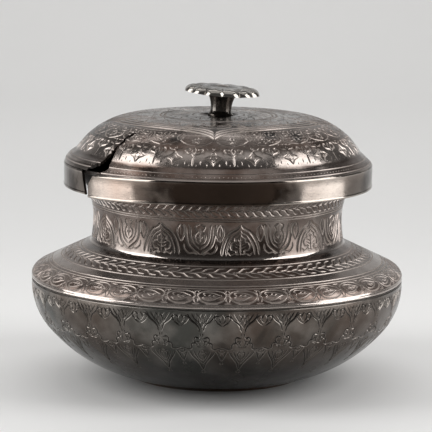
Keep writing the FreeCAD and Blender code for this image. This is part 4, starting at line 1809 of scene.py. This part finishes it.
    @staticmethod
    def quarter(pen: Pen, to: Callable[[float, float], Place], first: float) -> None:
        """Draws the scrolls and the lattice in one quarter of the medallion.

        Args:
            pen: The pen.
            to: Places an angle and a radius in the repeat.
            first: Angle where the quarter starts, at a tip.
        """
        middle = first + 45
        for hand in (1, -1):
            for scroll in LidCover.SCROLLS:
                pen.curve(*[to(middle + hand * angle, radius) for angle, radius in scroll], cut=Cut.BOLD)
            pen.curl(to(middle + hand * 15.5, 47.6), 3.2, hand * 400, 90)
            pen.curl(to(middle + hand * 26, 44.4), 2.6, hand * -380, 90)
            pen.leaf(to(middle + hand * 35, 39.5), to(middle + hand * 32, 47), 0.26, cut=Cut.LINE, rib=True)
            for step in range(3):
                pen.curve(*[to(first + 45 * (1 - hand) + hand * angle, 54.5 - 3.6 * step - angle**2 / 22)
                            for angle in (0, 4, 8, 11)], cut=Cut.BOLD)
            for step in range(4):
                low, high = 46.0 + 2.7 * step, 51.0 + 2.7 * step
                pen.curve(to(middle + hand * 32, low), to(middle + hand * 25, high), cut=Cut.FINE)
                pen.curve(to(middle + hand * 32, high), to(middle + hand * 25, low), cut=Cut.FINE)
        pen.leaf(to(middle, 41), to(middle, 51.5), 0.22, cut=Cut.LINE, rib=True)

    def strengthen(self, mesh: bpy.types.Mesh) -> None:
        """Makes the cuts of the medallion show more.

        Args:
            mesh: The engraved lid.
        """
        radius, angle = Marks.round_axis(Marks.places(mesh))
        from_tip = np.abs((angle - self.turn + 45) % 90 - 45)
        within = radius < np.interp(from_tip, *zip(*self.BORDER)) + Cut.BROAD.value / 2
        cut = np.empty(len(mesh.vertices), np.float32)
        mesh.attributes[Mark.CUT.value].data.foreach_get("value", cut)
        Marks.put(mesh, Mark.CUT, np.clip(np.where(within, cut * self.medallion_strength, cut), 0, 1))

    def crack_edge(self) -> list[Place]:
        """Lays out the crack from above, with small jags between its main corners.

        Returns:
            Pairs of x and y in millimetres.
        """
        corners = []
        for share, spread in self.CRACK_LEFT + self.CRACK_RIGHT:
            angle = math.radians(FRONT + self.crack_angle + self.crack_spread * spread)
            corners.append(np.array((math.cos(angle), math.sin(angle))) * self.span.radius * share)
        edge = []
        for i, (start, end) in enumerate(zip(corners, corners[1:] + corners[:1])):
            step = end - start
            jag = self.jag * (-1) ** i * np.array((-step[1], step[0])) / np.linalg.norm(step)
            first, second = [start + share * step for share in self.JAG_SHARES]
            edge += [start, first + jag, second - jag]
        return [tuple(place) for place in edge]

    def crack(self, piece: bpy.types.Object) -> None:
        """Cuts the crack through the sheet, with a torn edge.

        Args:
            piece: The whole lid.
        """
        edge = self.crack_edge()
        foot = self.span.foot - self.cutter_margin
        height = self.span.top - self.span.foot + 2 * self.cutter_margin
        mesh = bpy.data.meshes.new("crack_cutter")
        mesh.from_pydata([(x * MM, y * MM, foot * MM) for x, y in edge], [], [range(len(edge))])
        mesh.materials.append(self.finishes.made[Finishes.RAW])
        cutter = Shop.shown(bpy.data.objects.new("crack_cutter", mesh))
        Shop.edit(cutter)
        bpy.ops.mesh.extrude_region_move(TRANSFORM_OT_translate={"value": (0, 0, height * MM)})
        bpy.ops.mesh.select_all(action="SELECT")
        bpy.ops.mesh.normals_make_consistent(inside=False)
        Shop.close()
        Shop.take(piece)
        cut = piece.modifiers.new("crack", "BOOLEAN")
        cut.object = cutter
        cut.solver = "MANIFOLD"
        cut.material_mode = "TRANSFER"
        bpy.ops.object.modifier_apply(modifier=cut.name)
        bpy.data.objects.remove(cutter)

    def spring(self, mesh: bpy.types.Mesh) -> None:
        """Springs the sheet up on the left of the crack and lets its right lip sag.

        Args:
            mesh: The cracked lid.
        """
        places = Marks.places(mesh)
        radius, angle = Marks.round_axis(places)
        angle = (angle - self.crack_angle + 180) % 360 - 180
        shares, spreads = np.transpose(self.CRACK_LEFT)
        lip = np.interp(radius, shares * self.span.radius, spreads * self.crack_spread)
        right = angle > lip + self.lip_clearance
        away = np.clip((lip + self.lip_clearance - angle) / self.sprung_reach, 0, 1) + right
        lift = eased(np.clip(2 - 2 * away, 0, 1)) * np.interp(radius, *zip(*self.SPRUNG_SHAPE))
        near = np.clip(1 - (angle - lip) / self.sag_reach, 0, 1) * right
        fall = eased(near) * np.interp(radius, *zip(*self.SAG_SHAPE))
        places[:, 2] += self.sprung * lift
        places[:, 2] -= self.sag * fall
        Marks.move(mesh, places)

    def build(self) -> None:
        """Raises the lid, engraves it, dresses it and cracks it."""
        radius, foot = self.span.radius, self.span.foot
        inner = self.bare.inside(self.wall, self.inner_start)
        inner += [(radius - self.brim_cut, foot), (radius, foot)]
        shell = Shell("lid_cover", self.side, inner, self.steps, self.turn, patches=self.STAINS_AND_SHADE)
        shell.friezes = [Frieze(*self.dot_row, self.dots, self.dot),
                         Frieze(self.slope_foot, self.slope_top, self.cells, self.lozenge_and_lily),
                         Frieze(self.slope_top, self.medallion_top, 2, self.crown, self.punch_spacing)]
        shell.grooves = [Groove(place, Cut.FINE) for place in self.rings]
        dome_end = self.slope_foot + self.dome_shine_height
        shell.shines = [self.edge_shine, Shine(self.slope_foot, dome_end, self.dome_shine)]
        piece = shell.build()
        self.strengthen(piece.data)
        self.finishes.settle(piece, Finishes.TINNED, Body.LID, "lid_dome")
        self.crack(piece)
        self.spring(piece.data)
        Shop.smoothed(piece)


@dataclass
class LidBand:
    """The upright band round the lid, a strip whose seam has sprung open and torn at its top.

    Its section is drawn in pairs: how far inside the outer radius a corner lies, and how far above a level.
    The levels are the foot, the top of the hem, the foot again and the top.
    """

    span: NodeSpan
    finishes: Finishes
    wall: float = 1.7
    hem: float = 1.5
    left_edge: float = 303.2
    right_edge: float = 305.2
    left_tear: float = 2.6
    right_tear: float = 3.8
    tear_height: float = 6.0
    sag: float = 1.3
    sag_reach: float = 45.0
    steps: int = 420
    soft_edge: float = 0.4
    tear_reach: float = 9.0
    tear_power: float = 1.5
    end_slack: float = 1.0
    bright_top: float = 1.5
    bright_edge: float = 0.9
    bright_face: float = 0.3
    skin: float = 1.0
    shade_and_tarnish_radius: float = 87.7
    tarnish: float = 0.9

    HEM_FOOT = ((0.5, 0.0), (0.12, 0.2), (0.0, 0.6))
    HEM_TOP = ((0.0, -0.4), (0.08, -0.1), (0.22, 0.15))
    FACE = ((0.22, 4.5), (0.16, 8.0))
    FILED = ((0.22, -1.6), (0.1, -0.8), (0.25, -0.5), (0.6, 0.0))
    # Painted dark reflections across the band's front and on its right side, and tarnish beside the seam gap
    # and at its back: angle, height and reach of each.
    SHADED_AND_TARNISHED = ((-16, 117, 17), (-7, 117, 17), (2, 117, 17), (11, 117, 17), (19, 117, 17), (118, 116, 18),
                 (205, 117, 20), (277, 117, 15), (293, 117, 15), (67, 117, 13), (82, 117, 16))

    def section(self) -> list[Place]:
        """Draws the strip's section, with a hem at its foot and a filed edge at its top.

        Returns:
            Pairs of radius and height.
        """
        foot, top = self.span.foot, self.span.top
        bore = self.span.radius - self.wall
        corners = [(bore, top), (bore, foot + self.soft_edge), (bore + self.soft_edge, foot)]
        levels = (foot, foot + self.hem, foot, top)
        for level, stretch in zip(levels, (self.HEM_FOOT, self.HEM_TOP, self.FACE, self.FILED)):
            corners += [(self.span.radius - inset, level + up) for inset, up in stretch]
        return corners

    def tear(self, mesh: bpy.types.Mesh, sweep: float) -> None:
        """Tears the strip's ends apart, lets the right one sag and rubs the strip's edges bright.

        Args:
            mesh: The bent strip.
            sweep: Angle that it was bent through.
        """
        places = Marks.places(mesh)
        radius, angle = Marks.round_axis(places)
        angle = (angle - self.right_edge) % 360
        angle[angle > sweep + self.end_slack] = 0
        height, foot, top = places[:, 2], self.span.foot, self.span.top
        edge = (height > top - self.bright_top) | (height < foot + self.hem)
        up = np.clip((height - top + self.tear_height) / self.tear_height, 0, 1)
        lean = np.clip((height - foot) / (top - foot), 0, 1)
        angle += self.right_tear * up**self.tear_power * np.clip(1 - angle / self.tear_reach, 0, 1)
        angle -= self.left_tear * lean * np.clip(1 - (sweep - angle) / self.tear_reach, 0, 1)
        fall = self.sag * eased(np.clip(1 - angle / self.sag_reach, 0, 1))
        turned = np.radians(angle + FRONT + self.right_edge)
        moved = np.column_stack((radius * np.cos(turned), radius * np.sin(turned), height - fall))
        Marks.move(mesh, moved)
        bright = np.where(edge, self.bright_edge, self.bright_face)
        Marks.put(mesh, Mark.POLISH, bright * (radius > self.span.radius - self.skin))

    def build(self) -> None:
        """Bends the strip round, tears its ends and dresses it."""
        sweep = 360 - (self.right_edge - self.left_edge)
        strip = Shop.spun("lid_hoop", [self.section()], self.steps, self.right_edge, True, sweep)
        Shop.edit(strip)
        bpy.ops.mesh.select_all(action="DESELECT")
        bpy.ops.mesh.select_non_manifold()
        bpy.ops.mesh.fill_holes(sides=0)
        Shop.close()
        strip = Shop.joined("lid_hoop", [strip])
        self.tear(strip.data, sweep)
        # Painted dark reflections and tarnish on the band.
        Marks.tarnish(strip.data, [Patch(angle, self.shade_and_tarnish_radius, height, reach, self.tarnish)
                                   for angle, height, reach in self.SHADED_AND_TARNISHED])
        self.finishes.settle(Shop.smoothed(strip), Finishes.BAND, Body.LID, "lid_band")


@dataclass
class Knob:
    """The knob: a waisted stem and a rosette of turned-down petals, leaning a little to the right."""

    crown_height: float
    finishes: Finishes
    offset: float = 1.0
    lean: float = 4.0
    foot_radius: float = 7.2
    foot_height: float = 0.9
    foot_arc: float = 0.6
    sinking: float = 0.6
    waist_radius: float = 5.9
    waist_height: float = 3.2
    waist_arc: float = 2.0
    top_radius: float = 9.4
    stem_height: float = 14.2
    collar_arc: float = 0.8
    stem_steps: int = 160
    stem_shine: float = 0.15
    flat_radius: float = 17.4
    lip_reach: float = 4.2
    lip_edge: float = 0.35
    lip_fullness: float = 0.3
    thickness: float = 1.5
    crowning: float = 0.8
    lip_drop: float = 1.9
    lip_width: float = 1.3
    hub_radius: float = 3.0
    ring_radius: float = 4.4
    petal_foot: float = 3.2
    petal_bore: float = 5.2
    bright_lip: float = 4.2
    rosette_shine: float = 0.05
    darkening_margin: float = 3.0
    tarnish: float = 1.3
    notch_depth: float = 1.5
    notch_start: float = 9.0
    notch_power: float = 2.2
    lip_power: float = 1.5
    wave: float = 0.45
    petals: int = 12
    steps: int = 360

    FOOT_EDGE = ((0.0, -0.5), (-0.5, 0.1))
    HOLLOW = (0.4, 0.7)
    COLLAR = ((-0.5, -1.3), (0.0, -0.9), (0.0, 0.0))

    def stand(self, piece: bpy.types.Object) -> None:
        """Leans a piece over its foot and stands it on the crown."""
        turn = Matrix.Rotation(math.radians(self.lean), 4, "Y")
        piece.data.transform(Matrix.Translation((self.offset * MM, 0, self.crown_height * MM)) @ turn)

    def stem(self) -> bpy.types.Object:
        """Turns the stem, with a rounded foot, a waist and a collar under the rosette.

        Returns:
            The stem.
        """
        edge = [(self.foot_radius + out, self.foot_height + up) for out, up in self.FOOT_EDGE]
        hollow = (self.waist_radius + self.HOLLOW[0], self.foot_height + self.HOLLOW[1])
        waist = (self.waist_radius, self.waist_height)
        collar = [(self.top_radius + out, self.stem_height + up) for out, up in self.COLLAR]
        sunk = -self.foot_radius * math.tan(math.radians(self.lean)) - self.sinking
        side = Outline(0.0, sunk).line(self.foot_radius, sunk).line(*edge[0]).arc(*edge[1], self.foot_arc)
        side.line(*hollow).arc(*waist, -self.waist_arc).arc(*collar[0], -waist_bend(waist, collar[0]))
        side.arc(*collar[1], self.collar_arc).line(*collar[2]).line(0.0, self.stem_height)
        return Shell("knob_shank", side.finish(), [], self.stem_steps, row=1.0, dull=self.stem_shine).build()

    @staticmethod
    def petal(pen: Pen) -> None:
        """Draws one petal of the rosette: a deep line on each side, a leaf and small strokes in it.

        Args:
            pen: The pen of one repeat.
        """
        pen.curve((0.0, 0.0), (0.0, 0.55), cut=Cut.BOLD)
        pen.leaf((0.5, 0.08), (0.5, 0.60), 0.18, rib=True)
        pen.curve((0.14, 0.10), (0.18, 0.30), (0.30, 0.48), (0.5, 0.66), cut=Cut.HAIR, mirrored=True)
        pen.leaf((0.5, 0.74), (0.5, 0.94), 0.25)

    def rosette(self) -> bpy.types.Object:
        """Turns the rosette, engraves it and notches its lip between the petals.

        Returns:
            The rosette.
        """
        radius, edge = self.flat_radius + self.lip_reach, self.stem_height + self.thickness
        foot, top = self.stem_height - self.lip_drop, edge + self.crowning
        bend = (self.lip_reach**2 + (edge - foot) ** 2) / (2 * (edge - foot))
        side = Outline(radius, foot).line(radius, foot + self.lip_edge)
        side.arc(self.flat_radius, edge, bend + self.lip_fullness)
        side.line(self.hub_radius, top).line(0.0, top).finish()
        inner = [(0.0, self.stem_height), (self.flat_radius, self.stem_height),
                 (radius - self.lip_width, foot), (radius, foot)]
        shell = Shell("knob_flower", side, inner, self.steps, row=0.9, dull=self.rosette_shine)
        petal_top = side.where(radius=self.petal_bore)
        shell.friezes = [Frieze(self.petal_foot, petal_top, self.petals, self.petal)]
        shell.grooves = [Groove(side.where(radius=self.ring_radius), Cut.FINE)]
        shell.shines = [Shine(BEFORE, self.bright_lip, 1.0)]
        # Darkens the rosette's top.
        shell.patches = [Patch(0, 0, top, self.flat_radius + self.darkening_margin, self.tarnish)]
        piece = shell.build()
        self.scallop(piece.data, radius)
        return Shop.smoothed(piece)

    def scallop(self, mesh: bpy.types.Mesh, radius: float) -> None:
        """Notches the rosette's lip between the petals and lets it wave up and down.

        Args:
            mesh: The round rosette.
            radius: Its outer radius.
        """
        places = Marks.places(mesh)
        reach, angle = Marks.round_axis(places)
        half = 180 / self.petals
        aside = np.abs((angle + half) % (2 * half) - half) / half
        notch = np.clip(1 - aside, 0, 1) ** self.notch_power
        outer = np.clip((reach - self.notch_start) / (radius - self.notch_start), 0, 1)
        shrink = 1 - self.notch_depth / radius * notch * outer**self.lip_power
        places[:, :2] *= shrink[:, None]
        places[:, 2] += self.wave * outer * (0.5 - notch)
        Marks.move(mesh, places)

    def build(self) -> None:
        """Makes stem and rosette, stands them on the crown and dresses them with the rivet and its rove."""
        for piece, node in ((self.stem(), "knob_stem"), (self.rosette(), "knob_rosette")):
            self.stand(piece)
            self.finishes.settle(piece, Finishes.KNOB, Body.LID, node)
        for node in ("knob_rivet", "knob_rove"):
            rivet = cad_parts[node]
            rivet.data.materials.clear()
            rivet.data.materials.append(self.finishes.made[Finishes.BAND])
            LOG.info("%s: packed node with a new finish", node)


@dataclass(frozen=True)
class Lamp:
    """A soft lamp: its place, size and aim in metres, and how bright its face is, where 1 is white."""

    name: str
    place: Point
    size: Place
    radiance: float
    aim: Point

    def hang(self) -> None:
        """Hangs the lamp."""
        data = bpy.data.lights.new(self.name, "AREA")
        data.shape = "RECTANGLE"
        data.size, data.size_y = self.size
        data.energy = math.pi * self.size[0] * self.size[1] * self.radiance
        lamp = Shop.shown(bpy.data.objects.new(self.name, data))
        lamp.location = self.place
        lamp.rotation_euler = (Vector(self.aim) - Vector(self.place)).to_track_quat("-Z", "Y").to_euler()


@dataclass
class Studio:
    """A plain pale floor that sweeps up behind, soft lamps at both sides and above, and the camera."""

    aim_height: float = 91.6
    aim_aside: float = -0.86
    distance: float = 1539.0
    elevation: float = 8.7
    roll: float = 0.65
    lens: float = 225.0
    sensor: float = 36.0
    sight: float = 20.0
    floor_reach: float = 2.2
    floor_bend: float = 0.8
    bend_steps: int = 24
    floor_colour: Colour = (0.80, 0.795, 0.785)
    floor_roughness: float = 0.7
    world_light: float = 0.10

    LAMPS = (Lamp("left_lamp", (-0.62, -0.1, 0.5), (0.46, 0.98), 4.1, (0, 0, 0.5)),
             Lamp("right_lamp", (0.62, -0.1, 0.5), (0.46, 0.98), 4.1, (0, 0, 0.5)),
             Lamp("top_lamp", (0.0, 0.3, 1.7), (1.6, 1.8), 0.7, (0, 0.3, 0)),
             Lamp("back_lamp", (0.0, 0.9, 1.6), (2.4, 0.8), 3.0, (0, 2.2, 0.3)))

    def floor(self) -> None:
        """Lays a floor that curves up into a backdrop."""
        bpy.ops.object.select_all(action="DESELECT")
        bpy.ops.mesh.primitive_plane_add(size=2 * self.floor_reach)
        sweep = bpy.context.active_object
        sweep.name = "floor_sweep"
        Shop.edit(sweep)
        bpy.ops.mesh.select_all(action="DESELECT")
        Shop.close()
        for edge in sweep.data.edges:
            edge.select = all(sweep.data.vertices[i].co.y > 0 for i in edge.vertices)
        bpy.ops.object.mode_set(mode="EDIT")
        bpy.ops.mesh.select_mode(type="EDGE")
        bpy.ops.mesh.extrude_region_move(TRANSFORM_OT_translate={"value": (0, 0, self.floor_reach)})
        Shop.close()
        bend = sweep.modifiers.new("bend", "BEVEL")
        bend.width = self.floor_bend
        bend.segments = self.bend_steps
        bend.limit_method = "ANGLE"
        bpy.ops.object.modifier_apply(modifier=bend.name)
        bpy.ops.object.shade_smooth()
        material = bpy.data.materials.new("pale_floor")
        material.use_nodes = True
        shader = material.node_tree.nodes["Principled BSDF"]
        shader.inputs["Base Color"].default_value = (*self.floor_colour, 1)
        shader.inputs["Roughness"].default_value = self.floor_roughness
        sweep.data.materials.append(material)

    def sky(self) -> None:
        """Fills the room with even grey light."""
        world = bpy.data.worlds.new("room")
        world.use_nodes = True
        shade = world.node_tree.nodes["Background"]
        shade.inputs["Color"].default_value = (1, 1, 1, 1)
        shade.inputs["Strength"].default_value = self.world_light
        bpy.context.scene.world = world

    def camera(self) -> None:
        """Sets the camera up as the vessel is seen, a little from above."""
        data = bpy.data.cameras.new("camera")
        data.lens = self.lens
        data.sensor_width = self.sensor
        data.clip_end = self.sight
        camera = Shop.shown(bpy.data.objects.new("camera", data))
        tilt = math.radians(self.elevation)
        aim = Vector((self.aim_aside, 0, self.aim_height)) * MM
        camera.location = aim + Vector((0, -math.cos(tilt), math.sin(tilt))) * self.distance * MM
        facing = (aim - camera.location).to_track_quat("-Z", "Y").to_matrix()
        turned = facing @ Matrix.Rotation(math.radians(self.roll), 3, "Z")
        camera.rotation_euler = turned.to_euler()
        bpy.context.scene.camera = camera

    def build(self) -> None:
        """Builds the studio."""
        bpy.context.scene.view_settings.view_transform = "Standard"
        self.floor()
        for lamp in self.LAMPS:
            lamp.hang()
        self.sky()
        self.camera()
        LOG.info("studio: floor, lamps and camera")


def main() -> None:
    """Builds every piece in order, then the studio, and notes each piece's triangle count."""
    logging.basicConfig(level=logging.INFO, format="%(message)s")
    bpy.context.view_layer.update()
    finishes = Finishes()
    makers = {"foot_ring": FootRing, "bowl": Bowl, "shoulder": Shoulder, "neck": Neck,
              "lid_dome": LidCover, "lid_band": LidBand}
    for node, maker in makers.items():
        maker(NodeSpan.of(node), finishes).build()
    Knob(NodeSpan.of("lid_dome").top, finishes).build()
    Studio().build()


if __name__ == "__main__":
    main()
